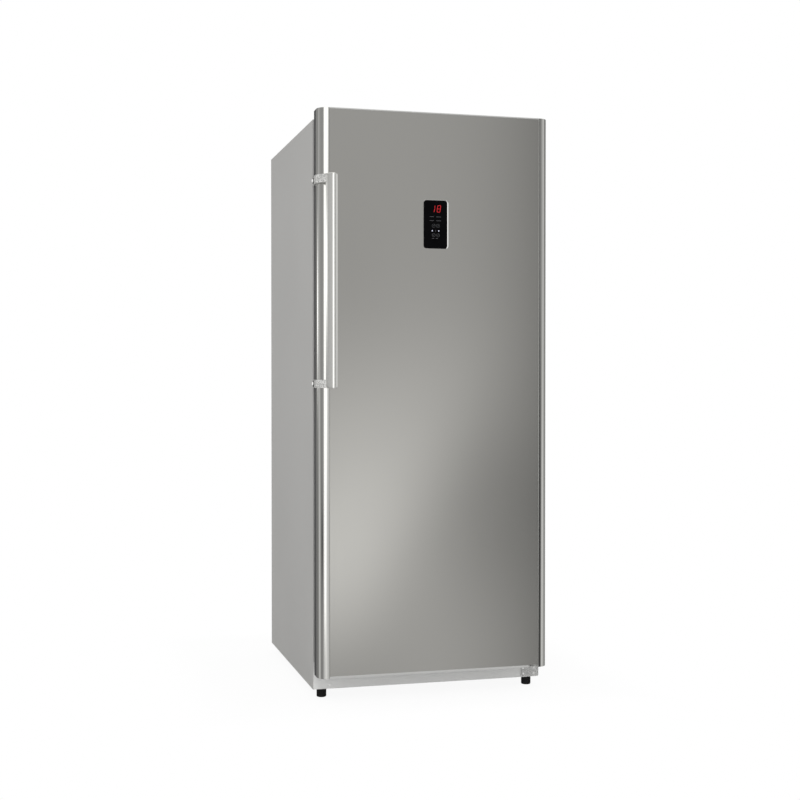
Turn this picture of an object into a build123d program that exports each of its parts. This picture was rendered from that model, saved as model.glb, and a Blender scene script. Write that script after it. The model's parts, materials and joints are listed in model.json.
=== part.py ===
from build123d import *
import math
import os

# An upright freezer with one right-hinged door, built piece by piece. Lengths are in millimetres.
# +X is to the right seen from the front, +Y to the back and +Z up.
# x = 0 is the middle of the case, y = 0 the middle of the whole depth, handle included, and z = 0 the floor.

os.makedirs("parts", exist_ok=True)

# Case
case_width = 700.0
case_depth = 729.0
case_height = 1663.0
case_sheet = 1.0
case_bend = 1.5
case_flange = 48.0
rear_lip = 12.0
rail_height = 80.0
rail_return = 12.0
base_sheet = 1.5
back_recess = 5.0
bead_proud = 2.5
bead_count = 4

# Insulated walls and liner
wall_side = 65.0
wall_top = 65.0
wall_back = 70.0
liner_wall = 2.0
liner_corner = 16.0
machine_depth = 235.0
machine_height = 235.0
machine_cheek = 20.0
machine_lagging = 60.0
cover_lap = 16.0
cover_inset = 2.0
cover_gap = 0.5

# Door
door_stack = 84.0
door_thickness = 67.0
door_rise = 21.0
door_drop = 47.0
column_radius = 31.0
column_wall = 1.6
column_side = 46.0
column_leg = 9.0
skin_sheet = 0.8
skin_hem = 7.0
skin_seam = 0.4
skin_bottom_gap = 7.0
skin_top_gap = 3.0
top_cap_height = 21.0
bottom_cap_height = 21.0
cap_wall = 3.0
cap_lift = 0.7
frame_wall = 2.5
frame_flange = 27.0
frame_inset = 0.5
door_liner_wall = 2.5

# Door lining: the raised ring that carries the bins
dyke_width = 18.0
dyke_depth = 52.0
dyke_clearance = 11.0
dyke_round = 5.0

# Gasket
gasket_width = 19.0
gasket_neck = 9.0
gasket_gap = 0.3

# Handle
handle_length = 610.0
handle_width = 33.0
handle_depth = 20.0
handle_nose = 12.1
handle_edge = 1.5
handle_edge_round = 1.0
handle_corner = 4.0
handle_proud = 39.0
handle_inset = 33.5
handle_bottom = 909.3
handle_end_round = 5.0
handle_end_edge = 0.9
strap_height = 25.0
strap_thickness = 4.5
strap_screw_depth = 50.0
strap_bend = 5.0
strap_turn = 8.0
strap_foot = 24.0
screw_cap_radius = 8.5
screw_cap_proud = 5.5
handle_screw_radius = 2.5

# Hinges
hinge_plate = 3.0
hinge_pin_radius = 4.0
pin_clearance = 0.06
hinge_arm_radius = 14.0
hinge_lift = 0.8
hinge_pin_depth = 16.0
hinge_pin_head = 1.2
bush_radius = 7.0
bush_flange_radius = 11.0
lower_bracket_width = 56.0
lower_bracket_foot = 3.0
screw_pitch_x = 34.3
screw_pitch_z = 16.6
screw_edge = 15.4
screw_row = 11.7
screw_head_radius = 3.4
screw_head_height = 2.0
screw_radius = 2.0
top_plate_left = 46.0
top_plate_right = 22.0
top_plate_depth = 62.0
top_plate_set = 14.0
hinge_cover_wall = 2.0
hinge_cover_height = 31.0
hinge_cover_margin = 6.0
hinge_cover_round = 5.0

# Feet and rollers
foot_height = 27.0
foot_radius = 14.5
foot_stem_radius = 5.0
foot_inset = 30.0
foot_set = 26.0
foot_flutes = 16
foot_round = 3.5
foot_top_gap = 1.5
nut_radius = 11.0
nut_height = 9.0
roller_radius = 20.0
roller_width = 18.0
roller_inset = 46.0
roller_set = 60.0
axle_radius = 4.0
bracket_sheet = 2.0
running_side_gap = 1.0

# Inside fittings
shelf_count = 4
shelf_glass = 4.0
shelf_side_gap = 1.0
shelf_setback = 121.0
shelf_rear_gap = 8.0
shelf_pitch = 262.0
shelf_first_above_floor = 432.0
ledge_proud = 12.0
ledge_height = 7.0
trim_height = 11.0
trim_depth = 15.0
cover_depth = 60.0
cover_wall = 2.5
cover_side_gap = 3.0
cover_top_gap = 24.0
vent_length = 84.0
vent_height = 6.0
vent_pitch = 13.0
fan_radius = 52.0
fan_blades = 5
fan_above_step = 400.0
coil_width = 440.0
coil_height = 170.0
coil_depth = 48.0
coil_above_step = 60.0
coil_slots = 20
heater_drop = 22.0
heater_bend = 10.0
lamp_length = 190.0
lamp_width = 44.0
lamp_drop = 13.0
lamp_set = 46.0
tube_radius = 4.0

# Drawers
drawer_setback = 121.0
drawer_wall = 2.2
drawer_taper = 2.0
drawer_corner = 14.0
drawer_rim = 8.0
drawer_rim_height = 3.0
lower_drawer_height = 194.0
upper_drawer_height = 188.0
drawer_lift = 5.0
runner_width = 30.0
runner_height = 9.0
slide_gap = 0.4

# Door bins
bin_count = 4
bin_pitch = 372.0
bin_first_above_dyke = 52.0
bin_pad = 9.0
bin_depth = 108.0
bin_back_height = 74.0
bin_front_height = 118.0
bin_lean = 9.0
bin_wall = 2.2
bin_round = 8.0
bin_back_gap = 3.0
lug_radius = 5.5
lug_set = 31.0
lug_height = 46.0
pad_margin = 8.0
bin_side_gap = 1.0

# Display in the door
panel_width = 76.0
panel_height = 137.0
panel_corner = 8.0
panel_rim = 1.0
panel_bevel = 3.0
panel_sleeve = 1.6
panel_proud = 1.2
panel_recess = 2.0
panel_depth = 22.0
panel_glass = 2.0
panel_centre = 1386.0
panel_fit = 0.15
digit_height = 17.0
digit_width = 10.0
digit_pitch = 17.0
digit_stroke = 2.6
digit_lean = 8.0
digit_film = 0.2
digits_x = 2.0
digits_above_centre = 39.5
mark_ring_radius = 2.2
mark_line = 0.6
mark_columns = (-11.0, 9.0)
label_rows = (22.0, 10.5)
ring_rows = (-4.5, -34.0)
dot_row = -19.5

# Machine compartment
compressor_length = 150.0
compressor_width = 122.0
compressor_height = 155.0
compressor_seam = 4.0
compressor_dome = 30.0
relay_width = 62.0
relay_height = 58.0
relay_depth = 44.0
tray_margin = 25.0
tray_depth = 26.0
tray_wall = 2.0
compressor_foot = 17.0
compressor_foot_corner = 16.0
drier_radius = 9.0
drier_length = 90.0
drier_set = 250.0
drier_above_base = 120.0
pipe_stub = 8.0
pipe_above_shell = 60.0
pipe_reach = 34.0
pipe_return = 40.0
pipe_bend = 14.0
compressor_x = 120.0
grommet_height = 16.0
grommet_radius = 11.0
mount_pitch_x = 170.0
mount_pitch_y = 100.0
stud_radius = 3.0
pipe_radius = 3.2
cover_sheet = 1.0
louvre_rows = 9
louvre_pitch = 18.0
louvre_length = 130.0
louvre_height = 6.0
gland_bore = 4.2
gland_radius = 9.0

# Places worked out from the sizes above
half_width = case_width / 2
overall_depth = handle_proud + door_stack + case_depth
door_front = handle_proud - overall_depth / 2
door_back = door_front + door_thickness
case_front = door_front + door_stack
case_back = case_front + case_depth
case_bottom = foot_height
case_top = case_bottom + case_height
inner_half = half_width - case_sheet
rail_top = case_bottom + rail_height
base_top = case_bottom + base_sheet
door_bottom = case_bottom + door_drop
door_top = case_top + door_rise
skin_bottom = door_bottom + skin_bottom_gap
skin_top = door_top - skin_top_gap
flange_half = half_width - case_flange
foot_x = half_width - foot_inset
roller_x = half_width - roller_inset
flange_top = case_top - case_flange
liner_half = half_width - wall_side
liner_top = case_top - wall_top
liner_back = case_back - wall_back
liner_inner_half = liner_half - liner_wall
machine_front = case_back - machine_depth
machine_top = case_bottom + machine_height
machine_half = inner_half - machine_cheek
step_front = machine_front - machine_lagging
step_top = machine_top + machine_lagging
hinge_x = half_width - column_radius
hinge_y = door_front + column_radius
column_edge = half_width - column_radius - column_wall / 2
panel_back_inner = case_back - back_recess
cover_front = liner_back - liner_wall - cover_depth
handle_top = handle_bottom + handle_length
handle_x = handle_inset - half_width
handle_back = door_front - handle_proud + handle_depth
cap_back = door_front + column_side


top_arm_bottom = door_top + hinge_lift
top_arm_top = top_arm_bottom + hinge_plate
riser_y = case_front + top_plate_set
top_screws = (
    (hinge_x - top_plate_left + 12, riser_y + top_plate_depth - 12),
    (hinge_x + top_plate_right - 10, riser_y + top_plate_depth - 12),
    (hinge_x - top_plate_left + 12, riser_y + 18),
)
cover_plane = case_back - cover_inset
cover_inner = cover_plane - case_sheet
cover_screw_x = machine_half + machine_cheek / 2
cover_screw_low = base_top + cover_lap / 2
cover_screw_high = machine_top - cover_lap / 2
cover_screws = [(x, z) for x in (-cover_screw_x, 0, cover_screw_x) for z in (cover_screw_low, cover_screw_high)]


def front_plane(y):
    """Upright plane at depth y whose sketches read X to the right and Z up."""
    return Plane(origin=(0, y, 0), x_dir=(1, 0, 0), z_dir=(0, -1, 0))


# Case: side and top skin wrapped from one sheet, with a front flange for the gasket and a rear lip
with BuildPart() as outer_case:
    with BuildSketch(front_plane(case_front)) as wrap:
        with Locations((0, case_bottom)):
            Rectangle(case_width, case_height, align=(Align.CENTER, Align.MIN))
        fillet(wrap.vertices().group_by(Axis.Y)[-1], case_bend)
        with Locations((0, case_bottom)):
            Rectangle(
                2 * inner_half,
                case_height - case_sheet,
                align=(Align.CENTER, Align.MIN),
                mode=Mode.SUBTRACT,
            )
    extrude(amount=-case_depth)
    with BuildSketch(front_plane(case_front)):
        with Locations((0, rail_top)):
            Rectangle(2 * inner_half, case_top - rail_top - case_sheet, align=(Align.CENTER, Align.MIN))
            Rectangle(
                2 * flange_half,
                flange_top - rail_top,
                align=(Align.CENTER, Align.MIN),
                mode=Mode.SUBTRACT,
            )
    extrude(amount=-case_sheet)
    with BuildSketch(front_plane(case_back - case_sheet)):
        with Locations((0, machine_top)):
            Rectangle(2 * inner_half, case_top - machine_top - case_sheet, align=(Align.CENTER, Align.MIN))
            Rectangle(
                2 * (inner_half - rear_lip),
                case_top - machine_top - case_sheet - rear_lip,
                align=(Align.CENTER, Align.MIN),
                mode=Mode.SUBTRACT,
            )
    extrude(amount=-case_sheet)
    with BuildSketch(Plane.XY.offset(case_top)):
        with Locations(*top_screws):
            Circle(screw_radius)
    extrude(amount=-case_sheet, mode=Mode.SUBTRACT)

# Lower bracket: where its screws and the mirrored spare screw go
screw_x_outer = half_width - screw_edge
screw_x_mid = screw_x_outer - screw_pitch_x / 2
screw_z_mid = case_bottom + screw_row + screw_pitch_z / 2
spare_screw_x = -(screw_x_outer - screw_pitch_x)
spare_screw_z = case_bottom + screw_row

# Front rail below the compartment: a C-section whose bottom return carries the base plate
with BuildPart() as front_rail:
    with BuildSketch(Plane.YZ.offset(-inner_half)):
        with Locations((case_front, case_bottom)):
            Rectangle(rail_return, rail_height, align=(Align.MIN, Align.MIN))
        with Locations((case_front + case_sheet, case_bottom + case_sheet)):
            Rectangle(
                rail_return,
                rail_height - 2 * case_sheet,
                align=(Align.MIN, Align.MIN),
                mode=Mode.SUBTRACT,
            )
    extrude(amount=2 * inner_half)
    fillet(front_rail.edges().filter_by(Axis.X).group_by(Axis.Z)[0].sort_by(Axis.Y)[0], case_bend)
    with BuildSketch(front_plane(case_front)):
        with Locations((screw_x_mid, screw_z_mid)):
            with GridLocations(screw_pitch_x, screw_pitch_z, 2, 2):
                Circle(screw_radius)
        with Locations((spare_screw_x, spare_screw_z)):
            Circle(screw_radius)
    extrude(amount=-case_sheet, mode=Mode.SUBTRACT)

# Base plate: full footprint pan with weld nuts for the feet, openings for the rollers and compressor studs
roller_y = case_back - roller_set
roller_z = roller_radius
foot_y = case_front + foot_set
bracket_half = roller_width / 2 + running_side_gap + bracket_sheet
compressor_y = machine_front + machine_depth / 2
with BuildPart() as base_plate:
    with BuildSketch(Plane.XY.offset(case_bottom)):
        with Locations((0, case_front + rail_return)):
            Rectangle(
                2 * inner_half,
                case_depth - rail_return - case_sheet,
                align=(Align.CENTER, Align.MIN),
            )
        with Locations((-roller_x, roller_y), (roller_x, roller_y)):
            Rectangle(
                2 * bracket_half + 2,
                2 * roller_radius + 6,
                mode=Mode.SUBTRACT,
            )
    extrude(amount=base_sheet)
    with BuildSketch(Plane.XY.offset(base_top)):
        with Locations((-foot_x, foot_y), (foot_x, foot_y)):
            RegularPolygon(nut_radius, 6)
        with Locations((compressor_x, compressor_y)):
            with GridLocations(mount_pitch_x, mount_pitch_y, 2, 2):
                Circle(stud_radius)
    extrude(amount=nut_height)
    with BuildSketch(Plane.XY.offset(base_top)):
        with Locations((compressor_x, compressor_y)):
            with GridLocations(mount_pitch_x, mount_pitch_y, 2, 2):
                Circle(stud_radius)
    extrude(amount=grommet_height + 6)
    with BuildSketch(Plane.XY.offset(case_bottom)):
        with Locations((-foot_x, foot_y), (foot_x, foot_y)):
            Circle(foot_stem_radius + pin_clearance)
    extrude(amount=base_sheet + nut_height, mode=Mode.SUBTRACT)
    with BuildSketch(front_plane(cover_inner)):
        with Locations((0, base_top)):
            Rectangle(2 * machine_half, rear_lip, align=(Align.CENTER, Align.MIN))
        with Locations((0, cover_screw_low)):
            Circle(screw_radius, mode=Mode.SUBTRACT)
    extrude(amount=case_sheet)

# Back panel: one formed sheet, stepped forward over the machine compartment, with upright stiffening beads
with BuildPart() as back_panel:
    with BuildSketch(front_plane(panel_back_inner)):
        with Locations((0, machine_top)):
            Rectangle(2 * inner_half, case_top - case_sheet - machine_top, align=(Align.CENTER, Align.MIN))
    extrude(amount=-case_sheet)
    with BuildSketch(Plane.YZ.offset(-machine_half)):
        with Locations((machine_front, machine_top)):
            Rectangle(panel_back_inner - machine_front, case_sheet, align=(Align.MIN, Align.MIN))
        with Locations((machine_front, base_top)):
            Rectangle(case_sheet, machine_top - base_top, align=(Align.MIN, Align.MIN))
    extrude(amount=2 * machine_half)
    with BuildSketch(Plane.YZ.offset(-inner_half)):
        with Locations((panel_back_inner, machine_top)):
            Rectangle(cover_inner - panel_back_inner, case_sheet, align=(Align.MIN, Align.MIN))
    extrude(amount=2 * inner_half)
    for side in (-1, 1):
        with BuildSketch(Plane.XY.offset(base_top)):
            with Locations((side * machine_half, machine_front)):
                edge = Align.MAX if side < 0 else Align.MIN
                Rectangle(case_sheet, cover_inner - machine_front, align=(edge, Align.MIN))
            with Locations((side * machine_half, cover_inner)):
                Rectangle(machine_cheek, case_sheet, align=(edge, Align.MAX))
        extrude(amount=machine_height - base_sheet + case_sheet)
    with BuildSketch(front_plane(cover_inner)):
        with Locations((0, machine_top)):
            Rectangle(2 * inner_half, cover_lap, align=(Align.CENTER, Align.MAX))
    extrude(amount=case_sheet)
    with BuildSketch(front_plane(cover_inner)):
        with Locations(*cover_screws):
            Circle(screw_radius)
    extrude(amount=case_sheet, mode=Mode.SUBTRACT)
    bead_height = case_top - machine_top - 160
    with BuildSketch(front_plane(panel_back_inner + case_sheet)):
        with Locations((0, (case_top + machine_top) / 2)):
            with GridLocations(case_width / (bead_count + 1), 1, bead_count, 1):
                SlotOverall(bead_height, 26, rotation=90)
    extrude(amount=-bead_proud, taper=35)


def liner_side(inset, front):
    """Corners of the compartment's side profile, drawn in by inset, from depth front to its back wall."""
    return (
        (front, rail_top + inset),
        (step_front - inset, rail_top + inset),
        (step_front - inset, step_top + inset),
        (liner_back - inset, step_top + inset),
        (liner_back - inset, liner_top - inset),
        (front, liner_top - inset),
    )


# Solid blocks of the compartment, outside and inside the liner wall
with BuildPart() as liner_block:
    with BuildSketch(Plane.YZ.offset(-liner_half)) as block_side:
        Polygon(*liner_side(0, case_front), align=None)
        fillet(block_side.vertices().filter_by(lambda v: v.X > case_front + 1), liner_corner)
    extrude(amount=2 * liner_half)

with BuildPart() as liner_room:
    with BuildSketch(Plane.YZ.offset(-liner_inner_half)) as room_side:
        Polygon(*liner_side(liner_wall, case_front - 1), align=None)
        fillet(room_side.vertices().filter_by(lambda v: v.X > case_front + 1), liner_corner)
    extrude(amount=2 * liner_inner_half)

# Shelf levels and the depth that the shelves take
shelf_levels = [rail_top + shelf_first_above_floor + shelf_pitch * i for i in range(shelf_count)]
shelf_front = case_front + shelf_setback
shelf_back = cover_front - shelf_rear_gap
shelf_half = liner_inner_half - shelf_side_gap

# Liner: vacuum-formed compartment with a front flange and a moulded ledge under each shelf
with BuildPart() as inner_liner:
    add(liner_block.part)
    with BuildSketch(front_plane(case_front)):
        with Locations((0, rail_top)):
            Rectangle(2 * flange_half, flange_top - rail_top, align=(Align.CENTER, Align.MIN))
    extrude(amount=-liner_wall)
    add(liner_room.part, mode=Mode.SUBTRACT)
    for level in shelf_levels:
        for side in (-1, 1):
            with BuildSketch(front_plane(shelf_front)):
                with BuildLine():
                    Polyline(
                        (side * liner_inner_half, level),
                        (side * (liner_inner_half - ledge_proud), level),
                        (side * (liner_inner_half - ledge_proud), level - ledge_height / 2),
                        (side * liner_inner_half, level - 2 * ledge_height),
                        close=True,
                    )
                make_face()
            extrude(amount=shelf_front - shelf_back)

# Foam: fills everything between the skin and the liner, with clearance pockets over the feet
with BuildPart() as foam_insulation:
    with BuildSketch(Plane.YZ.offset(-inner_half)):
        with Locations((case_front + liner_wall, base_top)):
            Rectangle(
                panel_back_inner - case_front - liner_wall,
                case_top - case_sheet - base_top,
                align=(Align.MIN, Align.MIN),
            )
        with Locations((case_front, base_top)):
            Rectangle(
                rail_return,
                rail_top - base_top,
                align=(Align.MIN, Align.MIN),
                mode=Mode.SUBTRACT,
            )
    extrude(amount=2 * inner_half)
    with BuildSketch(Plane.YZ.offset(-machine_half - case_sheet)):
        with Locations((machine_front, base_top)):
            Rectangle(
                machine_depth,
                machine_top + case_sheet - base_top,
                align=(Align.MIN, Align.MIN),
            )
    extrude(amount=2 * (machine_half + case_sheet), mode=Mode.SUBTRACT)
    add(liner_block.part, mode=Mode.SUBTRACT)
    with BuildSketch(Plane.XY.offset(base_top)):
        with Locations((-foot_x, foot_y), (foot_x, foot_y)):
            Circle(nut_radius + 2)
    extrude(amount=foot_height + nut_height, mode=Mode.SUBTRACT)
    with BuildSketch(front_plane(panel_back_inner)):
        with Locations(*cover_screws):
            Circle(screw_radius + 1)
    extrude(amount=screw_head_height, mode=Mode.SUBTRACT)

# Evaporator cover: moulded rear wall of the compartment with air vents and a fan grille
cover_half = liner_inner_half - cover_side_gap
cover_bottom = step_top + liner_wall
cover_top = liner_top - liner_wall - cover_top_gap
fan_z = step_top + fan_above_step
with BuildPart() as evaporator_cover:
    with BuildSketch(front_plane(cover_front)) as face:
        with Locations((0, cover_bottom)):
            Rectangle(2 * cover_half, cover_top - cover_bottom, align=(Align.CENTER, Align.MIN))
        fillet(face.vertices(), cover_wall * 3)
    extrude(amount=-cover_depth)
    with BuildSketch(front_plane(cover_front + cover_wall)) as hollow:
        with Locations((0, cover_bottom + cover_wall)):
            Rectangle(
                2 * (cover_half - cover_wall),
                cover_top - cover_bottom - 2 * cover_wall,
                align=(Align.CENTER, Align.MIN),
            )
        fillet(hollow.vertices(), cover_wall * 2)
    extrude(amount=-cover_depth, mode=Mode.SUBTRACT)
    with BuildSketch(front_plane(cover_front)):
        for level in shelf_levels[1:]:
            with Locations((0, level + shelf_pitch / 2)):
                with GridLocations(2 * cover_half / 3, vent_pitch, 3, 3):
                    Rectangle(vent_length, vent_height)
    extrude(amount=-cover_wall, mode=Mode.SUBTRACT)
    with BuildSketch(front_plane(cover_front)):
        with Locations((0, fan_z)):
            Circle(fan_radius + 4)
            Circle(fan_radius * 0.78, mode=Mode.SUBTRACT)
            Circle(fan_radius * 0.66)
            Circle(fan_radius * 0.44, mode=Mode.SUBTRACT)
            Circle(fan_radius * 0.32)
            Rectangle(2 * fan_radius, cover_wall * 1.6)
            Rectangle(cover_wall * 1.6, 2 * fan_radius)
    grille = extrude(amount=-cover_wall, mode=Mode.PRIVATE)
    with BuildSketch(front_plane(cover_front)):
        with Locations((0, fan_z)):
            Circle(fan_radius)
    extrude(amount=-cover_wall, mode=Mode.SUBTRACT)
    add(grille)
    add(liner_room.part, mode=Mode.INTERSECT)

# Evaporator coil: fin pack slotted from the front, with return bends at both ends
coil_z = step_top + coil_above_step + coil_height / 2
coil_back = liner_back - liner_wall
with BuildPart() as evaporator_coil:
    with BuildSketch(front_plane(coil_back)):
        with Locations((0, coil_z)):
            Rectangle(coil_width, coil_height)
    extrude(amount=coil_depth)
    with BuildSketch(front_plane(coil_back - coil_depth)):
        with Locations((0, coil_z)):
            with GridLocations(coil_width / (coil_slots + 1), 1, coil_slots, 1):
                Rectangle(coil_width / (coil_slots + 1) * 0.7, coil_height)
    extrude(amount=-coil_depth * 0.8, mode=Mode.SUBTRACT)
    for side in (-1, 1):
        for row in (-1, 1):
            bend_plane = Plane(
                origin=(side * coil_width / 2, coil_back - coil_depth / 2, coil_z + row * coil_height / 4),
                x_dir=(0, 1, 0),
                z_dir=(side, 0, 0),
            )
            with BuildSketch(bend_plane):
                SlotOverall(coil_height / 3, 2 * tube_radius, rotation=90)
            extrude(amount=tube_radius * 4)

# Defrost heater: a tube under the fin pack, hooked up to it at both ends
heater_z = coil_z - coil_height / 2
with BuildPart() as defrost_heater:
    with BuildLine() as heater_route:
        FilletPolyline(
            (-coil_width / 2.4, coil_back - coil_depth / 2, heater_z),
            (-coil_width / 2.4, coil_back - coil_depth / 2, heater_z - heater_drop),
            (coil_width / 2.4, coil_back - coil_depth / 2, heater_z - heater_drop),
            (coil_width / 2.4, coil_back - coil_depth / 2, heater_z),
            radius=heater_bend,
        )
    with BuildSketch(Plane(origin=heater_route.line @ 0, z_dir=heater_route.line % 0)):
        Circle(tube_radius)
    sweep()

# Fan motor on the liner's back wall, its shaft carrying the blade behind the grille
motor_front = coil_back - 32
fan_front = cover_front + cover_wall + 6
with BuildPart() as fan_motor:
    with BuildSketch(front_plane(coil_back)):
        with Locations((0, fan_z)):
            RectangleRounded(84, 84, 10)
    extrude(amount=3)
    with BuildSketch(front_plane(coil_back - 3)):
        with Locations((0, fan_z)):
            Circle(27)
    extrude(amount=coil_back - 3 - motor_front)
    with BuildSketch(front_plane(motor_front)):
        with Locations((0, fan_z)):
            Circle(2.5)
    extrude(amount=motor_front - fan_front - 3)

fan_back = motor_front - 2
with BuildPart() as fan_blade:
    with BuildSketch(front_plane(fan_front)):
        with Locations((0, fan_z)):
            Circle(fan_radius * 0.3)
    extrude(amount=fan_front - fan_back)
    for i in range(fan_blades):
        turn = math.radians(360 / fan_blades * i)
        root = Plane(
            origin=(
                fan_radius * 0.25 * math.cos(turn),
                (fan_front + fan_back) / 2,
                fan_z + fan_radius * 0.25 * math.sin(turn),
            ),
            x_dir=(-math.sin(turn), 0, math.cos(turn)),
            z_dir=(math.cos(turn), 0, math.sin(turn)),
        )
        with BuildSketch(root):
            with BuildLine():
                ThreePointArc((-15, -7), (0, 2.5), (15, 7))
                ThreePointArc((15, 7), (0, 0.5), (-15, -7))
            make_face()
        extrude(amount=fan_radius * 0.66)
    with BuildSketch(front_plane(fan_front + 3)):
        with Locations((0, fan_z)):
            Circle(2.5 + pin_clearance)
    extrude(amount=fan_front + 3 - fan_back, mode=Mode.SUBTRACT)

# Lamp lens under the ceiling
with BuildPart() as lamp_cover:
    with BuildSketch(Plane.XY.offset(liner_top - liner_wall)):
        with Locations((0, shelf_front - lamp_set)):
            RectangleRounded(lamp_length, lamp_width, lamp_width / 4)
    extrude(amount=-lamp_drop, taper=18)
    fillet(lamp_cover.faces().sort_by(Axis.Z)[0].edges(), 3)

# Shelves: toughened glass panes held in moulded front and rear trims
shelf_panes = []
for level in shelf_levels:
    with BuildPart() as pane:
        with BuildSketch(Plane.XY.offset(level)):
            with Locations((0, (shelf_front + shelf_back) / 2)):
                Rectangle(2 * shelf_half, shelf_back - shelf_front)
        extrude(amount=shelf_glass)
    shelf_panes.append(pane)

with BuildPart() as shelf_trims:
    for level in shelf_levels:
        trim_plane = Plane.YZ.offset(ledge_proud + shelf_side_gap - shelf_half)
        trim_length = 2 * (shelf_half - ledge_proud - shelf_side_gap)
        with BuildSketch(trim_plane) as front_trim:
            with Locations((shelf_front - 4, level + shelf_glass / 2)):
                Rectangle(trim_depth, trim_height, align=(Align.MIN, Align.CENTER))
            fillet(front_trim.vertices().group_by(Axis.X)[0], 3.5)
            with Locations((shelf_front, level + shelf_glass / 2)):
                Rectangle(trim_depth, shelf_glass, align=(Align.MIN, Align.CENTER), mode=Mode.SUBTRACT)
        extrude(amount=trim_length)
        with BuildSketch(trim_plane):
            with Locations((shelf_back + 4, level + shelf_glass / 2)):
                Rectangle(trim_depth, trim_height, align=(Align.MAX, Align.CENTER))
            with Locations((shelf_back, level + shelf_glass / 2)):
                Rectangle(trim_depth, shelf_glass, align=(Align.MAX, Align.CENTER), mode=Mode.SUBTRACT)
        extrude(amount=trim_length)

# Drawers slide on rims that ride on side runners
drawer_front = case_front + drawer_setback
drawer_half = liner_inner_half - runner_width - slide_gap
rim_half = drawer_half + drawer_rim
lower_floor = rail_top + liner_wall + drawer_lift
upper_floor = step_top + liner_wall + drawer_lift
drawer_bays = {
    "lower": (lower_floor, lower_drawer_height, step_front - liner_wall - 8),
    "upper": (upper_floor, upper_drawer_height, cover_front - shelf_rear_gap),
}
drawers = {}
for name, (floor, height, back) in drawer_bays.items():
    middle = (drawer_front + back) / 2
    with BuildPart() as drawer:
        with BuildSketch(Plane.XY.offset(floor + height)) as mouth:
            with Locations((0, middle)):
                RectangleRounded(2 * drawer_half, back - drawer_front, drawer_corner)
        extrude(amount=-height, taper=drawer_taper)
        fillet(drawer.faces().sort_by(Axis.Z)[0].edges(), 5)
        with BuildSketch(Plane.XY.offset(floor + height)):
            with Locations((0, middle)):
                RectangleRounded(
                    2 * (drawer_half - drawer_wall),
                    back - drawer_front - 2 * drawer_wall,
                    drawer_corner - drawer_wall,
                )
        extrude(amount=drawer_wall - height, taper=drawer_taper, mode=Mode.SUBTRACT)
        with BuildSketch(Plane.XY.offset(floor + height)):
            with Locations((0, middle)):
                RectangleRounded(2 * rim_half, back - drawer_front, drawer_corner)
                RectangleRounded(
                    2 * (drawer_half - drawer_wall),
                    back - drawer_front - 2 * drawer_wall,
                    drawer_corner - drawer_wall,
                    mode=Mode.SUBTRACT,
                )
        extrude(amount=-drawer_rim_height)
        with BuildSketch(front_plane(drawer_front)):
            with Locations((0, floor + height - 34)):
                SlotOverall(150, 26)
        extrude(amount=-20, mode=Mode.SUBTRACT)
    drawers[name] = drawer

with BuildPart() as drawer_runners:
    for floor, height, back in drawer_bays.values():
        rail_z = floor + height - drawer_rim_height - slide_gap
        for side in (-1, 1):
            with BuildSketch(front_plane(drawer_front - 6)) as runner:
                with Locations((side * (liner_inner_half - runner_width / 2), rail_z - runner_height / 2)):
                    Rectangle(runner_width, runner_height)
                fillet(runner.vertices().group_by(Axis.Y)[0], 3)
            extrude(amount=drawer_front - 6 - back)

# Door columns: bright extrusions that round the two front corners and run down the sides
bend_inner = column_radius - column_wall
leg_inner = column_edge + column_wall
leg_meets_bend = hinge_y - math.sqrt(bend_inner**2 - (leg_inner - hinge_x) ** 2)
half_turn = math.sqrt(0.5)
columns = {}
for name, side in {"left": -1, "right": 1}.items():
    with BuildPart() as column:
        with BuildSketch(Plane.XY.offset(door_bottom)) as section:
            with BuildLine():
                Polyline(
                    (side * hinge_x, door_front),
                    (side * column_edge, door_front),
                    (side * column_edge, door_front + column_leg),
                    (side * leg_inner, door_front + column_leg),
                    (side * leg_inner, leg_meets_bend),
                )
                ThreePointArc(
                    (side * leg_inner, leg_meets_bend),
                    (side * (hinge_x + bend_inner * half_turn), hinge_y - bend_inner * half_turn),
                    (side * (half_width - column_wall), hinge_y),
                )
                Polyline(
                    (side * (half_width - column_wall), hinge_y),
                    (side * (half_width - column_wall), cap_back),
                    (side * half_width, cap_back),
                    (side * half_width, hinge_y),
                )
                ThreePointArc(
                    (side * half_width, hinge_y),
                    (side * (hinge_x + column_radius * half_turn), hinge_y - column_radius * half_turn),
                    (side * hinge_x, door_front),
                )
            make_face()
        extrude(amount=door_top - door_bottom)
    columns[name] = column

# Door skin: flat stainless sheet hemmed at both sides, with the display window
skin_half = column_edge - skin_seam
glass_width = panel_width - 2 * (panel_rim + panel_bevel)
glass_height = panel_height - 2 * (panel_rim + panel_bevel)
window_width = glass_width + 2 * (panel_sleeve + panel_fit)
window_height = glass_height + 2 * (panel_sleeve + panel_fit)
window_corner = panel_corner - 2
with BuildPart() as door_skin:
    with BuildSketch(Plane.XY.offset(skin_bottom)):
        with Locations((0, door_front)):
            Rectangle(2 * skin_half, skin_hem, align=(Align.CENTER, Align.MIN))
        with Locations((0, door_front + skin_sheet)):
            Rectangle(
                2 * (skin_half - skin_sheet),
                skin_hem,
                align=(Align.CENTER, Align.MIN),
                mode=Mode.SUBTRACT,
            )
    extrude(amount=skin_top - skin_bottom)
    with BuildSketch(front_plane(door_front)):
        with Locations((0, panel_centre)):
            RectangleRounded(window_width, window_height, window_corner)
    extrude(amount=-skin_sheet, mode=Mode.SUBTRACT)


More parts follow.
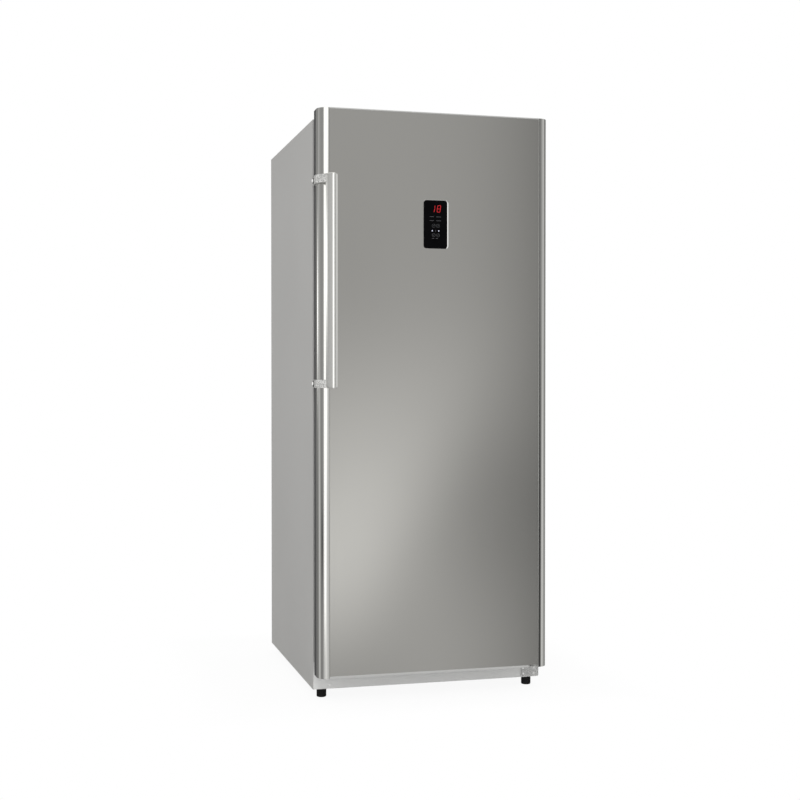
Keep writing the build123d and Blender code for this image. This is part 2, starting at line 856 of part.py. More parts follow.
def door_plan(z):
    """Plan of the door's inside at height z: within the rounded columns, from the front to the frame."""
    reach = column_radius - column_wall
    front = door_front + column_wall
    with BuildSketch(Plane.XY.offset(z)) as plan:
        with BuildLine():
            Line((-hinge_x, front), (hinge_x, front))
            RadiusArc((hinge_x, front), (hinge_x + reach, hinge_y), -reach)
            Polyline(
                (hinge_x + reach, hinge_y),
                (hinge_x + reach, cap_back),
                (-hinge_x - reach, cap_back),
                (-hinge_x - reach, hinge_y),
            )
            RadiusArc((-hinge_x - reach, hinge_y), (-hinge_x, front), -reach)
        make_face()
    return plan.sketch


seam_side = skin_half - skin_sheet
seam_width = leg_inner - seam_side
seam_centre = (leg_inner + seam_side) / 2
lip_seam_width = leg_inner - skin_half
lip_seam_centre = (leg_inner + skin_half) / 2

# Top cap: closes the door between the columns and holds the upper hinge bush
with BuildPart() as door_top_cap:
    extrude(door_plan(door_top - top_cap_height), amount=top_cap_height)
    with BuildSketch(Plane.XY.offset(door_top - skin_top_gap)):
        with Locations((0, door_front)):
            Rectangle(2 * skin_half, column_wall, align=(Align.CENTER, Align.MIN))
    extrude(amount=skin_top_gap)
    with BuildSketch(Plane.XY.offset(door_top - top_cap_height)) as hollow:
        with Locations((-column_radius, door_front + column_side / 2 + column_wall)):
            Rectangle(2 * hinge_x - 2 * column_radius, column_side - column_leg * 2 - cap_wall)
    extrude(amount=top_cap_height - cap_wall, mode=Mode.SUBTRACT)
    with BuildSketch(Plane.XY.offset(door_top)):
        with Locations((hinge_x, hinge_y)):
            Circle(bush_radius + pin_clearance)
    extrude(amount=-top_cap_height, mode=Mode.SUBTRACT)
    with BuildSketch(Plane.XY.offset(door_top - top_cap_height)):
        for side in (-1, 1):
            with Locations((side * seam_centre, door_front)):
                Rectangle(seam_width, 2 * column_leg)
    extrude(amount=top_cap_height - skin_top_gap, mode=Mode.SUBTRACT)
    with BuildSketch(Plane.XY.offset(door_top - skin_top_gap)):
        for side in (-1, 1):
            with Locations((side * lip_seam_centre, door_front)):
                Rectangle(lip_seam_width, 2 * column_leg)
    extrude(amount=skin_top_gap, mode=Mode.SUBTRACT)

# Bottom cap: shows as a light strip under the skin and is cut away over the hinge arm
cap_bottom = door_bottom + cap_lift
recess_left = half_width - lower_bracket_width - 6
with BuildPart() as door_bottom_cap:
    extrude(door_plan(cap_bottom), amount=bottom_cap_height)
    with BuildSketch(Plane.XY.offset(cap_bottom)):
        with Locations((0, door_front)):
            Rectangle(2 * skin_half, column_wall, align=(Align.CENTER, Align.MIN))
    extrude(amount=skin_bottom - cap_bottom)
    with BuildSketch(Plane.XY.offset(cap_bottom)):
        with Locations((recess_left, door_front - 1)):
            Rectangle(lower_bracket_width + 6, column_side + 2, align=(Align.MIN, Align.MIN))
    extrude(amount=skin_bottom - cap_bottom, mode=Mode.SUBTRACT)
    with BuildSketch(Plane.XY.offset(cap_bottom + cap_wall)):
        with Locations((-column_radius, door_front + column_side / 2 + column_wall)):
            Rectangle(2 * hinge_x - 2 * column_radius - 40, column_side - column_leg * 2 - cap_wall)
    extrude(amount=bottom_cap_height, mode=Mode.SUBTRACT)
    with BuildSketch(Plane.XY.offset(cap_bottom)):
        with Locations((hinge_x, hinge_y)):
            Circle(bush_radius + pin_clearance)
    extrude(amount=bottom_cap_height, mode=Mode.SUBTRACT)
    with BuildSketch(Plane.XY.offset(skin_bottom)):
        for side in (-1, 1):
            with Locations((side * seam_centre, door_front)):
                Rectangle(seam_width, 2 * column_leg)
    extrude(amount=bottom_cap_height, mode=Mode.SUBTRACT)
    with BuildSketch(Plane.XY.offset(cap_bottom)):
        for side in (-1, 1):
            with Locations((side * lip_seam_centre, door_front)):
                Rectangle(lip_seam_width, 2 * column_leg)
    extrude(amount=skin_bottom - cap_bottom, mode=Mode.SUBTRACT)

# Door frame: dark moulded surround behind the columns, with the flange that grips the gasket
frame_half = half_width - frame_inset
frame_bottom = door_bottom + cap_lift
frame_top = door_top - frame_inset
frame_mid = (frame_bottom + frame_top) / 2
frame_height = frame_top - frame_bottom
with BuildPart() as door_frame:
    with BuildSketch(front_plane(cap_back)):
        with Locations((0, frame_mid)):
            Rectangle(2 * frame_half, frame_height)
            Rectangle(
                2 * (frame_half - frame_wall),
                frame_height - 2 * frame_wall,
                mode=Mode.SUBTRACT,
            )
    extrude(amount=cap_back - door_back)
    with BuildSketch(front_plane(door_back)):
        with Locations((0, frame_mid)):
            Rectangle(2 * frame_half, frame_height)
            Rectangle(
                2 * (frame_half - frame_flange),
                frame_height - 2 * frame_flange,
                mode=Mode.SUBTRACT,
            )
    extrude(amount=frame_wall)
    fillet(door_frame.edges().filter_by(Axis.Z).group_by(Axis.Y)[-1].sort_by(Axis.X)[0::3], 1.5)
    with BuildSketch(Plane.YZ.offset(-frame_half)):
        for z in (handle_bottom + strap_height / 2, handle_top - strap_height / 2):
            with Locations((door_front + strap_screw_depth, z)):
                Circle(handle_screw_radius)
    extrude(amount=frame_wall, mode=Mode.SUBTRACT)

# Raised ring of the door lining: its places, shared with the foam that fills it
lining_half = frame_half - frame_flange
lining_bottom = frame_bottom + frame_flange
lining_top = frame_top - frame_flange
dyke_half = liner_inner_half - dyke_clearance
dyke_bottom = rail_top + liner_wall + dyke_clearance
dyke_top = liner_top - liner_wall - dyke_clearance
dyke_mid = (dyke_bottom + dyke_top) / 2
dyke_height = dyke_top - dyke_bottom
dyke_inner = dyke_half - dyke_width
core_half = dyke_half - door_liner_wall
core_height = dyke_height - 2 * door_liner_wall
core_width = dyke_width - 2 * door_liner_wall
foam_back = door_back - door_liner_wall
with BuildPart() as dyke_core:
    with BuildSketch(front_plane(foam_back)):
        with Locations((0, dyke_mid)):
            RectangleRounded(2 * core_half, core_height, liner_corner - door_liner_wall)
            RectangleRounded(
                2 * (core_half - core_width),
                core_height - 2 * core_width,
                liner_corner,
                mode=Mode.SUBTRACT,
            )
    extrude(amount=-dyke_depth)
    fillet(dyke_core.faces().sort_by(Axis.Y)[-1].edges(), dyke_round / 2)

# Door foam: fills the door between skin, columns, caps, frame and lining
with BuildPart() as door_foam:
    foam_bottom = cap_bottom + bottom_cap_height
    foam_height = door_top - top_cap_height - foam_bottom
    extrude(door_plan(foam_bottom), amount=foam_height)
    with BuildSketch(front_plane(cap_back)):
        with Locations((0, frame_mid)):
            Rectangle(2 * (frame_half - frame_wall), frame_height - 2 * frame_wall)
    extrude(amount=cap_back - foam_back)
    with BuildSketch(front_plane(door_front + skin_sheet)):
        with Locations((0, foam_bottom)):
            Rectangle(2 * (skin_half - skin_sheet), foam_height, align=(Align.CENTER, Align.MIN))
    extrude(amount=skin_sheet - column_wall)
    with BuildSketch(Plane.XY.offset(foam_bottom)):
        for side in (-1, 1):
            with Locations((side * seam_centre, door_front)):
                Rectangle(seam_width, 2 * column_leg)
    extrude(amount=foam_height, mode=Mode.SUBTRACT)
    with BuildSketch(front_plane(door_front)):
        with Locations((0, panel_centre)):
            RectangleRounded(window_width, window_height, window_corner)
    extrude(amount=-panel_depth, mode=Mode.SUBTRACT)
    add(dyke_core.part)

# Door lining: white sheet inside the frame flange, with the raised ring and the lugs for the bins
bin_floors = [dyke_bottom + dyke_width + bin_first_above_dyke + bin_pitch * i for i in range(bin_count)]
lug_y = door_back + lug_set
pad_outer = dyke_inner - bin_side_gap
bin_half_width = pad_outer - bin_pad
with BuildPart() as door_liner:
    with BuildSketch(front_plane(door_back)) as ring:
        with Locations((0, dyke_mid)):
            RectangleRounded(2 * dyke_half, dyke_height, liner_corner)
            RectangleRounded(2 * dyke_inner, dyke_height - 2 * dyke_width, liner_corner, mode=Mode.SUBTRACT)
    extrude(amount=-dyke_depth)
    fillet(door_liner.faces().sort_by(Axis.Y)[-1].edges(), dyke_round)
    with BuildSketch(front_plane(foam_back)):
        with Locations((0, (lining_bottom + lining_top) / 2)):
            Rectangle(2 * lining_half, lining_top - lining_bottom)
    extrude(amount=-door_liner_wall)
    add(dyke_core.part, mode=Mode.SUBTRACT)
    for side in (-1, 1):
        with BuildSketch(Plane.YZ.offset(side * dyke_inner)):
            for floor in bin_floors:
                with Locations((lug_y, floor + lug_height)):
                    Circle(lug_radius)
        extrude(amount=-side * (dyke_inner - bin_half_width - bin_side_gap))

# Door bins: moulded trays whose side hooks drop over the lugs
bin_back = door_back + bin_back_gap
door_bins = []
for floor in bin_floors:
    with BuildPart() as door_bin:
        with BuildSketch(Plane.YZ.offset(-bin_half_width)) as side_view:
            with BuildLine():
                Polyline(
                    (bin_back, floor),
                    (bin_back + bin_depth - bin_lean, floor),
                    (bin_back + bin_depth, floor + bin_front_height),
                    (bin_back, floor + bin_back_height),
                    close=True,
                )
            make_face()
            fillet(side_view.vertices().group_by(Axis.Y)[0], bin_round)
        extrude(amount=2 * bin_half_width)
        with BuildSketch(Plane.YZ.offset(bin_wall - bin_half_width)) as room_view:
            with BuildLine():
                Polyline(
                    (bin_back + bin_wall, floor + bin_wall),
                    (bin_back + bin_depth - bin_lean - bin_wall, floor + bin_wall),
                    (bin_back + bin_depth - bin_wall, floor + bin_front_height + bin_wall),
                    (bin_back + bin_wall, floor + bin_front_height + bin_wall),
                    close=True,
                )
            make_face()
            fillet(room_view.vertices().group_by(Axis.Y)[0], bin_round - bin_wall)
        extrude(amount=2 * (bin_half_width - bin_wall), mode=Mode.SUBTRACT)
        for side in (-1, 1):
            with BuildSketch(Plane.YZ.offset(side * bin_half_width)):
                with Locations((lug_y, floor + lug_height - 6)):
                    RectangleRounded(2 * (lug_radius + pad_margin), 2 * pad_margin + 2 * lug_radius, 4)
                with Locations((lug_y, floor + lug_height)):
                    Circle(lug_radius + slide_gap, mode=Mode.SUBTRACT)
                    Rectangle(
                        2 * (lug_radius + slide_gap),
                        60,
                        align=(Align.CENTER, Align.MAX),
                        mode=Mode.SUBTRACT,
                    )
            extrude(amount=side * (pad_outer - bin_half_width))
    door_bins.append(door_bin)

# Gasket: magnet head on a bellows neck, swept round the opening with mitred corners
gasket_half = hinge_x - gasket_width / 2 - gasket_gap
gasket_bottom = rail_top - gasket_width / 2 - 3
gasket_top = case_top - case_flange / 2
gasket_depth = case_front - door_back - gasket_gap
with BuildPart() as door_gasket:
    with BuildLine() as seal_path:
        Polyline(
            (-gasket_half, door_back, frame_mid),
            (-gasket_half, door_back, gasket_top),
            (gasket_half, door_back, gasket_top),
            (gasket_half, door_back, gasket_bottom),
            (-gasket_half, door_back, gasket_bottom),
            close=True,
        )
    with BuildSketch(Plane(origin=(-gasket_half, door_back, frame_mid), x_dir=(1, 0, 0), z_dir=(0, 0, 1))):
        with BuildLine():
            half = gasket_width / 2
            neck = gasket_neck / 2
            Polyline(
                (-half, 0),
                (-half, gasket_depth * 0.2),
                (-neck, gasket_depth * 0.32),
                (-half * 0.75, gasket_depth * 0.5),
                (-neck, gasket_depth * 0.66),
                (-half, gasket_depth * 0.74),
                (-half, gasket_depth),
                (half, gasket_depth),
                (half, gasket_depth * 0.74),
                (neck, gasket_depth * 0.66),
                (half * 0.75, gasket_depth * 0.5),
                (neck, gasket_depth * 0.32),
                (half, gasket_depth * 0.2),
                (half, 0),
                close=True,
            )
        make_face()
    sweep(path=seal_path.wires()[0], transition=Transition.RIGHT)

# Handle bar: extrusion with a sloping flank on the outer side and a round nose beside it
bar_front = door_front - handle_proud
bar_outer = handle_x - handle_width / 2
bar_inner = handle_x + handle_width / 2
nose_x = bar_inner - handle_nose
nose_y = bar_front + handle_nose
with BuildPart() as handle_bar:
    with BuildSketch(Plane.XY.offset(handle_bottom)) as bar_section:
        with BuildLine():
            nose = CenterArc((nose_x, nose_y), handle_nose, 225, 135)
            back = Polyline(
                nose @ 1,
                (bar_inner, handle_back),
                (bar_outer + handle_edge, handle_back),
                (bar_outer, handle_back - handle_edge),
            )
            TangentArc(nose @ 0, back @ 1, tangent=-(nose % 0))
        make_face()
        fillet(bar_section.vertices().group_by(Axis.Y)[-1].sort_by(Axis.X)[-1], handle_corner)
        fillet(bar_section.vertices().group_by(Axis.X)[0], handle_edge_round)
    extrude(amount=handle_length)
    fillet(handle_bar.faces().filter_by(Axis.Z).edges(), handle_end_edge)
    with BuildSketch(Plane.XZ) as bar_front_view:
        with Locations((handle_x, handle_bottom + handle_length / 2)):
            RectangleRounded(handle_width, handle_length, handle_end_round)
    extrude(amount=overall_depth / 2, mode=Mode.INTERSECT)

# Handle straps: wrap from the door's side round the column to the back of the bar
strap_x = -half_width - strap_thickness
strap_y = door_front + strap_screw_depth
strap_levels = (handle_bottom + strap_height / 2, handle_top - strap_height / 2)
with BuildPart() as handle_straps:
    for level in strap_levels:
        with BuildSketch(Plane.XY.offset(level - strap_height / 2)) as strap_plan:
            with BuildLine() as strap_line:
                FilletPolyline(
                    (strap_x, strap_y + strap_height / 2),
                    (strap_x, door_front + strap_turn),
                    (bar_outer, handle_back - handle_edge),
                    radius=strap_bend,
                )
                offset(amount=strap_thickness, side=Side.LEFT)
            make_face()
            with BuildLine():
                Polyline(
                    (bar_outer, handle_back - handle_edge),
                    (bar_outer + strap_foot, handle_back - handle_edge),
                    (bar_outer + strap_foot, handle_back + strap_thickness),
                    (bar_outer + 2 * strap_thickness, handle_back + strap_thickness),
                    (bar_outer - strap_thickness / 2, handle_back + 1.4 * strap_thickness),
                    close=True,
                )
            make_face()
        extrude(amount=strap_height)
        with BuildSketch(Plane.YZ.offset(strap_x)):
            with Locations((strap_y, level)):
                Rectangle(strap_height, strap_height, align=(Align.MIN, Align.CENTER))
                Circle(strap_height / 2, mode=Mode.SUBTRACT)
        extrude(amount=strap_thickness, mode=Mode.SUBTRACT)
        with BuildSketch(Plane.YZ.offset(strap_x)):
            with Locations((strap_y, level)):
                Circle(handle_screw_radius)
        extrude(amount=strap_thickness, mode=Mode.SUBTRACT)
    add(handle_bar.part, mode=Mode.SUBTRACT)

# Handle screws: domed caps on shanks through the straps into the frame
cap_seat = Plane(origin=(strap_x, 0, 0), x_dir=(0, -1, 0), z_dir=(-1, 0, 0))
with BuildPart() as handle_screws:
    with BuildSketch(cap_seat):
        with Locations(*[(-strap_y, level) for level in strap_levels]):
            Circle(screw_cap_radius)
    extrude(amount=screw_cap_proud)
    fillet(handle_screws.edges().filter_by(GeomType.CIRCLE).group_by(Axis.X)[0], screw_cap_proud * 0.85)
    with BuildSketch(cap_seat):
        with Locations(*[(-strap_y, level) for level in strap_levels]):
            Circle(handle_screw_radius - pin_clearance)
    extrude(amount=-strap_thickness - frame_inset - frame_wall)

# Lower hinge: folded bracket screwed to the front rail, its arm under the door
bracket_left = half_width - lower_bracket_width
arm_top = door_bottom - hinge_lift
arm_bottom = arm_top - hinge_plate
with BuildPart() as lower_hinge:
    with BuildSketch(front_plane(case_front)) as plate:
        with Locations((bracket_left, case_bottom + lower_bracket_foot)):
            Rectangle(
                lower_bracket_width,
                arm_top - case_bottom - lower_bracket_foot,
                align=(Align.MIN, Align.MIN),
            )
        fillet(plate.vertices().group_by(Axis.Y)[0], 3)
    extrude(amount=hinge_plate)
    with BuildSketch(Plane.XY.offset(arm_bottom)):
        with BuildLine():
            Polyline(
                (hinge_x - hinge_arm_radius, hinge_y),
                (bracket_left + 4, case_front - hinge_plate),
                (half_width - 4, case_front - hinge_plate),
                (hinge_x + hinge_arm_radius, hinge_y),
            )
            ThreePointArc(
                (hinge_x + hinge_arm_radius, hinge_y),
                (hinge_x, hinge_y - hinge_arm_radius),
                (hinge_x - hinge_arm_radius, hinge_y),
            )
        make_face()
        with Locations((hinge_x, hinge_y)):
            Circle(hinge_pin_radius, mode=Mode.SUBTRACT)
    extrude(amount=hinge_plate)
    with BuildSketch(front_plane(case_front)):
        with Locations((screw_x_mid, screw_z_mid)):
            with GridLocations(screw_pitch_x, screw_pitch_z, 2, 2):
                Circle(screw_radius + pin_clearance)
    extrude(amount=hinge_plate, mode=Mode.SUBTRACT)

# Top hinge: plate on the case top, joggled up so that its arm clears the door
with BuildPart() as top_hinge:
    with BuildSketch(Plane.XY.offset(case_top)) as plate:
        with Locations((hinge_x - top_plate_left, riser_y)):
            Rectangle(top_plate_left + top_plate_right, top_plate_depth, align=(Align.MIN, Align.MIN))
        fillet(plate.vertices().group_by(Axis.Y)[-1], 8)
        with Locations(*top_screws):
            Circle(screw_radius + pin_clearance, mode=Mode.SUBTRACT)
    extrude(amount=hinge_plate)
    with BuildSketch(Plane.XY.offset(case_top)):
        with Locations((hinge_x - top_plate_left + 10, riser_y)):
            Rectangle(top_plate_left + top_plate_right - 10, hinge_plate, align=(Align.MIN, Align.MIN))
    extrude(amount=top_arm_top - case_top)
    with BuildSketch(Plane.XY.offset(top_arm_bottom)):
        with BuildLine():
            Polyline(
                (hinge_x - hinge_arm_radius, hinge_y),
                (hinge_x - top_plate_left + 10, riser_y),
                (hinge_x + top_plate_right, riser_y),
                (hinge_x + hinge_arm_radius, hinge_y),
            )
            ThreePointArc(
                (hinge_x + hinge_arm_radius, hinge_y),
                (hinge_x, hinge_y - hinge_arm_radius),
                (hinge_x - hinge_arm_radius, hinge_y),
            )
        make_face()
        with Locations((hinge_x, hinge_y)):
            Circle(hinge_pin_radius, mode=Mode.SUBTRACT)
    extrude(amount=hinge_plate)

# Hinge pins: riveted into the arms, one down into the top cap and one up into the bottom cap
with BuildPart() as hinge_pins:
    with BuildSketch(Plane.XY.offset(top_arm_top)):
        with Locations((hinge_x, hinge_y)):
            Circle(hinge_pin_radius * 1.6)
    extrude(amount=hinge_pin_head)
    with BuildSketch(Plane.XY.offset(top_arm_top)):
        with Locations((hinge_x, hinge_y)):
            Circle(hinge_pin_radius)
    extrude(amount=-hinge_plate - hinge_lift - hinge_pin_depth)
    with BuildSketch(Plane.XY.offset(arm_bottom)):
        with Locations((hinge_x, hinge_y)):
            Circle(hinge_pin_radius)
    extrude(amount=hinge_plate + hinge_lift + hinge_pin_depth)
    with BuildSketch(Plane.XY.offset(arm_bottom)):
        with Locations((hinge_x, hinge_y)):
            Circle(hinge_pin_radius * 1.6)
    extrude(amount=-hinge_pin_head)

# Hinge bushes: flanged sleeves in the two caps
with BuildPart() as hinge_bushes:
    with BuildSketch(Plane.XY.offset(door_top)):
        with Locations((hinge_x, hinge_y)):
            Circle(bush_radius)
            Circle(hinge_pin_radius + pin_clearance, mode=Mode.SUBTRACT)
    extrude(amount=-hinge_pin_depth - 1)
    with BuildSketch(Plane.XY.offset(skin_bottom)):
        with Locations((hinge_x, hinge_y)):
            Circle(bush_radius)
            Circle(hinge_pin_radius + pin_clearance, mode=Mode.SUBTRACT)
    extrude(amount=hinge_pin_depth - skin_bottom_gap + 1)
    with BuildSketch(Plane.XY.offset(door_bottom - hinge_lift + 0.3)):
        with Locations((hinge_x, hinge_y)):
            Circle(bush_flange_radius)
            Circle(hinge_pin_radius + pin_clearance, mode=Mode.SUBTRACT)
    extrude(amount=skin_bottom_gap + hinge_lift - 0.3)

# Hinge cover on the case top, slotted for the arm
with BuildPart() as top_hinge_cover:
    cover_x = hinge_x + (top_plate_right - top_plate_left) / 2
    cover_w = top_plate_left + top_plate_right + 2 * hinge_cover_margin
    cover_d = top_plate_depth + 2 * hinge_cover_margin
    cover_y = riser_y + top_plate_depth / 2
    with BuildSketch(Plane.XY.offset(case_top)):
        with Locations((cover_x, cover_y)):
            RectangleRounded(cover_w, cover_d, 8)
    extrude(amount=hinge_cover_height)
    fillet(top_hinge_cover.faces().sort_by(Axis.Z)[-1].edges(), hinge_cover_round)
    with BuildSketch(Plane.XY.offset(case_top)):
        with Locations((cover_x, cover_y)):
            RectangleRounded(cover_w - 2 * hinge_cover_wall, cover_d - 2 * hinge_cover_wall, 6)
    extrude(amount=hinge_cover_height - hinge_cover_wall, mode=Mode.SUBTRACT)
    with BuildSketch(front_plane(riser_y - 1)):
        with Locations((cover_x, top_arm_bottom - 0.5)):
            Rectangle(cover_w - 2 * hinge_cover_margin + 2, hinge_plate + 1, align=(Align.CENTER, Align.MIN))
    extrude(amount=2 * hinge_cover_margin, mode=Mode.SUBTRACT)

# Screws: the same pan head for both hinges, the spare hole, and the cover of the machine compartment
screw_length = hinge_plate + case_sheet
screw_seats = [
    front_plane(case_front - hinge_plate) * Pos(screw_x_mid + dx, screw_z_mid + dz)
    for dx in (-screw_pitch_x / 2, screw_pitch_x / 2)
    for dz in (-screw_pitch_z / 2, screw_pitch_z / 2)
]
screw_seats.append(front_plane(case_front) * Pos(spare_screw_x, spare_screw_z))
screw_seats.extend(Plane.XY.offset(case_top + hinge_plate) * Pos(x, y) for x, y in top_screws)
back_plane = Plane(origin=(0, cover_plane, 0), x_dir=(1, 0, 0), z_dir=(0, 1, 0))
screw_seats.extend(back_plane * Pos(x, -z) for x, z in cover_screws)
with BuildPart() as case_screws:
    for seat in screw_seats:
        with BuildSketch(seat):
            Circle(screw_head_radius)
        extrude(amount=screw_head_height, taper=24)
        with BuildSketch(seat):
            Circle(screw_radius)
        extrude(amount=-screw_length)

# Levelling feet: fluted knobs on threaded stems
feet = {}
for name, side in {"left": -1, "right": 1}.items():
    with BuildPart() as foot:
        with BuildSketch(Plane.XY):
            with Locations((side * foot_x, foot_y)):
                Circle(foot_radius)
        extrude(amount=foot_height - foot_top_gap)
        fillet(foot.faces().sort_by(Axis.Z)[0].edges(), foot_round)
        with BuildSketch(Plane.XY.offset(2 * foot_round)):
            with Locations((side * foot_x, foot_y)):
                with PolarLocations(foot_radius + 0.8, foot_flutes):
                    Circle(1.7)
        extrude(amount=foot_height, mode=Mode.SUBTRACT)
        with BuildSketch(Plane.XY.offset(foot_height - foot_top_gap)):
            with Locations((side * foot_x, foot_y)):
                Circle(foot_stem_radius)
        extrude(amount=foot_top_gap + base_sheet + nut_height + 8)
    feet[name] = foot

# Rear rollers in folded brackets that sit over openings in the base plate
rollers = {}
for name, side in {"left": -1, "right": 1}.items():
    hub = Plane(origin=(side * roller_x - roller_width / 2, roller_y, roller_z), x_dir=(0, 1, 0), z_dir=(1, 0, 0))
    with BuildPart() as roller:
        with BuildSketch(hub):
            Circle(roller_radius)
            Circle(axle_radius + pin_clearance, mode=Mode.SUBTRACT)
        extrude(amount=roller_width)
        chamfer(roller.edges().filter_by(GeomType.CIRCLE).sort_by(SortBy.RADIUS)[-2:], 1.5)
        for face_plane in (hub, hub.offset(roller_width)):
            inward = 3 if face_plane is hub else -3
            with BuildSketch(face_plane):
                Circle(roller_radius * 0.78)
                Circle(roller_radius * 0.42, mode=Mode.SUBTRACT)
            extrude(amount=inward, mode=Mode.SUBTRACT)
    rollers[name] = roller

with BuildPart() as roller_brackets:
    bracket_top = 2 * roller_radius + 6
    for side in (-1, 1):
        middle = side * roller_x
        with BuildSketch(front_plane(roller_y - roller_radius)):
            with Locations((middle, bracket_top)):
                Rectangle(2 * bracket_half, bracket_sheet, align=(Align.CENTER, Align.MAX))
            for edge in (-1, 1):
                with Locations((middle + edge * (bracket_half - bracket_sheet / 2), bracket_top)):
                    Rectangle(bracket_sheet, bracket_top - 7, align=(Align.CENTER, Align.MAX))
        extrude(amount=-2 * roller_radius)
        with BuildSketch(Plane.XY.offset(base_top)):
            with Locations((middle, roller_y)):
                Rectangle(2 * bracket_half, 4 * roller_radius)
                Rectangle(2 * bracket_half, 2 * roller_radius, mode=Mode.SUBTRACT)
        extrude(amount=bracket_sheet)
        for end in (-1, 1):
            with BuildSketch(Plane.XY.offset(base_top)):
                for edge in (-1, 1):
                    with Locations(
                        (
                            middle + edge * (bracket_half - bracket_sheet / 2),
                            roller_y + end * (roller_radius + bracket_sheet / 2),
                        )
                    ):
                        Rectangle(bracket_sheet, bracket_sheet)
            extrude(amount=bracket_top - base_top)
        with BuildSketch(Plane.YZ.offset(middle - bracket_half - 1.5)):
            with Locations((roller_y, roller_z)):
                Circle(axle_radius)
        extrude(amount=2 * bracket_half + 3)

# Compressor: welded shell on a mounting plate, with a stub for the suction pipe
shell_z = base_top + grommet_height
pipe_start_x = compressor_x + compressor_length / 2 + pipe_stub
pipe_z = shell_z + pipe_above_shell
with BuildPart() as compressor:
    with BuildSketch(Plane.XY.offset(shell_z)):
        with Locations((compressor_x, compressor_y)):
            RectangleRounded(
                mount_pitch_x + 2 * compressor_foot,
                mount_pitch_y + 2 * compressor_foot,
                compressor_foot_corner,
            )
            with GridLocations(mount_pitch_x, mount_pitch_y, 2, 2):
                Circle(stud_radius + 1.5, mode=Mode.SUBTRACT)
    extrude(amount=hinge_plate)
    with BuildSketch(Plane.XY.offset(shell_z + hinge_plate)):
        with Locations((compressor_x, compressor_y)):
            RectangleRounded(compressor_length, compressor_width, compressor_width * 0.46)
    extrude(amount=compressor_height)
    fillet(compressor.faces().sort_by(Axis.Z)[-1].edges(), compressor_dome)
    with BuildSketch(Plane.XY.offset(shell_z + compressor_height * 0.55)):
        with Locations((compressor_x, compressor_y)):
            RectangleRounded(
                compressor_length + 2 * compressor_seam,
                compressor_width + 2 * compressor_seam,
                compressor_width * 0.46 + compressor_seam,
            )
    extrude(amount=4)
    with BuildSketch(Plane.YZ.offset(compressor_x)):
        with Locations((compressor_y, pipe_z)):
            Circle(pipe_radius * 1.6)
    extrude(amount=pipe_start_x - compressor_x)

with BuildPart() as compressor_mounts:
    for dx in (-mount_pitch_x / 2, mount_pitch_x / 2):
        for dy in (-mount_pitch_y / 2, mount_pitch_y / 2):
            spot = (compressor_x + dx, compressor_y + dy)
            with BuildSketch(Plane.XY.offset(base_top)):
                with Locations(spot):
                    Circle(grommet_radius)
                    Circle(stud_radius + pin_clearance, mode=Mode.SUBTRACT)
            extrude(amount=grommet_height)
            with BuildSketch(Plane.XY.offset(base_top + grommet_height * 0.4)):
                with Locations(spot):
                    Circle(grommet_radius)
                    Circle(grommet_radius - 3, mode=Mode.SUBTRACT)
            extrude(amount=grommet_height * 0.25, mode=Mode.SUBTRACT)

# Start relay box on the compressor's side
relay_x = compressor_x - compressor_length / 2
with BuildPart() as relay_cover:
    with BuildSketch(Plane.YZ.offset(relay_x - relay_depth * 0.77)):
        with Locations((compressor_y, shell_z + compressor_height * 0.42)):
            RectangleRounded(relay_width, relay_height, 8)
    extrude(amount=relay_depth)
    add(compressor.part, mode=Mode.SUBTRACT)

# Drip tray clipped on the compressor's dome
tray_z = shell_z + hinge_plate + compressor_height
with BuildPart() as drip_tray:
    with BuildSketch(Plane.XY.offset(tray_z)):
        with Locations((compressor_x, compressor_y)):
            RectangleRounded(compressor_length + 2 * tray_margin, compressor_width + tray_margin, tray_margin / 2)
    extrude(amount=tray_depth)
    with BuildSketch(Plane.XY.offset(tray_z + tray_wall)):
        with Locations((compressor_x, compressor_y)):
            RectangleRounded(
                compressor_length + 2 * (tray_margin - tray_wall),
                compressor_width + tray_margin - 2 * tray_wall,
                tray_margin / 2 - tray_wall,
            )
    extrude(amount=tray_depth, mode=Mode.SUBTRACT)

# Filter drier and the refrigerant pipes
drier_x = compressor_x - drier_set
drier_z = base_top + drier_above_base
drier_y = machine_front + case_sheet + drier_radius
with BuildPart() as filter_drier:
    with BuildSketch(Plane.YZ.offset(drier_x)):
        with Locations((drier_y, drier_z)):
            Circle(drier_radius)
    extrude(amount=drier_length)
    chamfer(filter_drier.edges().filter_by(GeomType.CIRCLE), 4)

pipe_back = machine_front + machine_depth * 0.78
pipe_x = pipe_start_x + pipe_reach
with BuildPart() as refrigerant_pipes:
    with BuildLine() as suction_route:
        FilletPolyline(
            (pipe_start_x, compressor_y, pipe_z),
            (pipe_x, compressor_y, pipe_z),
            (pipe_x, pipe_back, pipe_z),
            (pipe_x, pipe_back, machine_top),
            radius=pipe_bend,
        )
    with BuildSketch(Plane(origin=suction_route.line @ 0, z_dir=suction_route.line % 0)):
        Circle(pipe_radius)
    sweep()
    with BuildLine() as liquid_route:
        FilletPolyline(
            (drier_x, drier_y, drier_z),
            (drier_x - pipe_return, drier_y, drier_z),
            (drier_x - pipe_return, drier_y, machine_top),
            radius=pipe_bend,
        )
    with BuildSketch(Plane(origin=liquid_route.line @ 0, z_dir=liquid_route.line % 0)):
        Circle(pipe_radius)
    sweep()

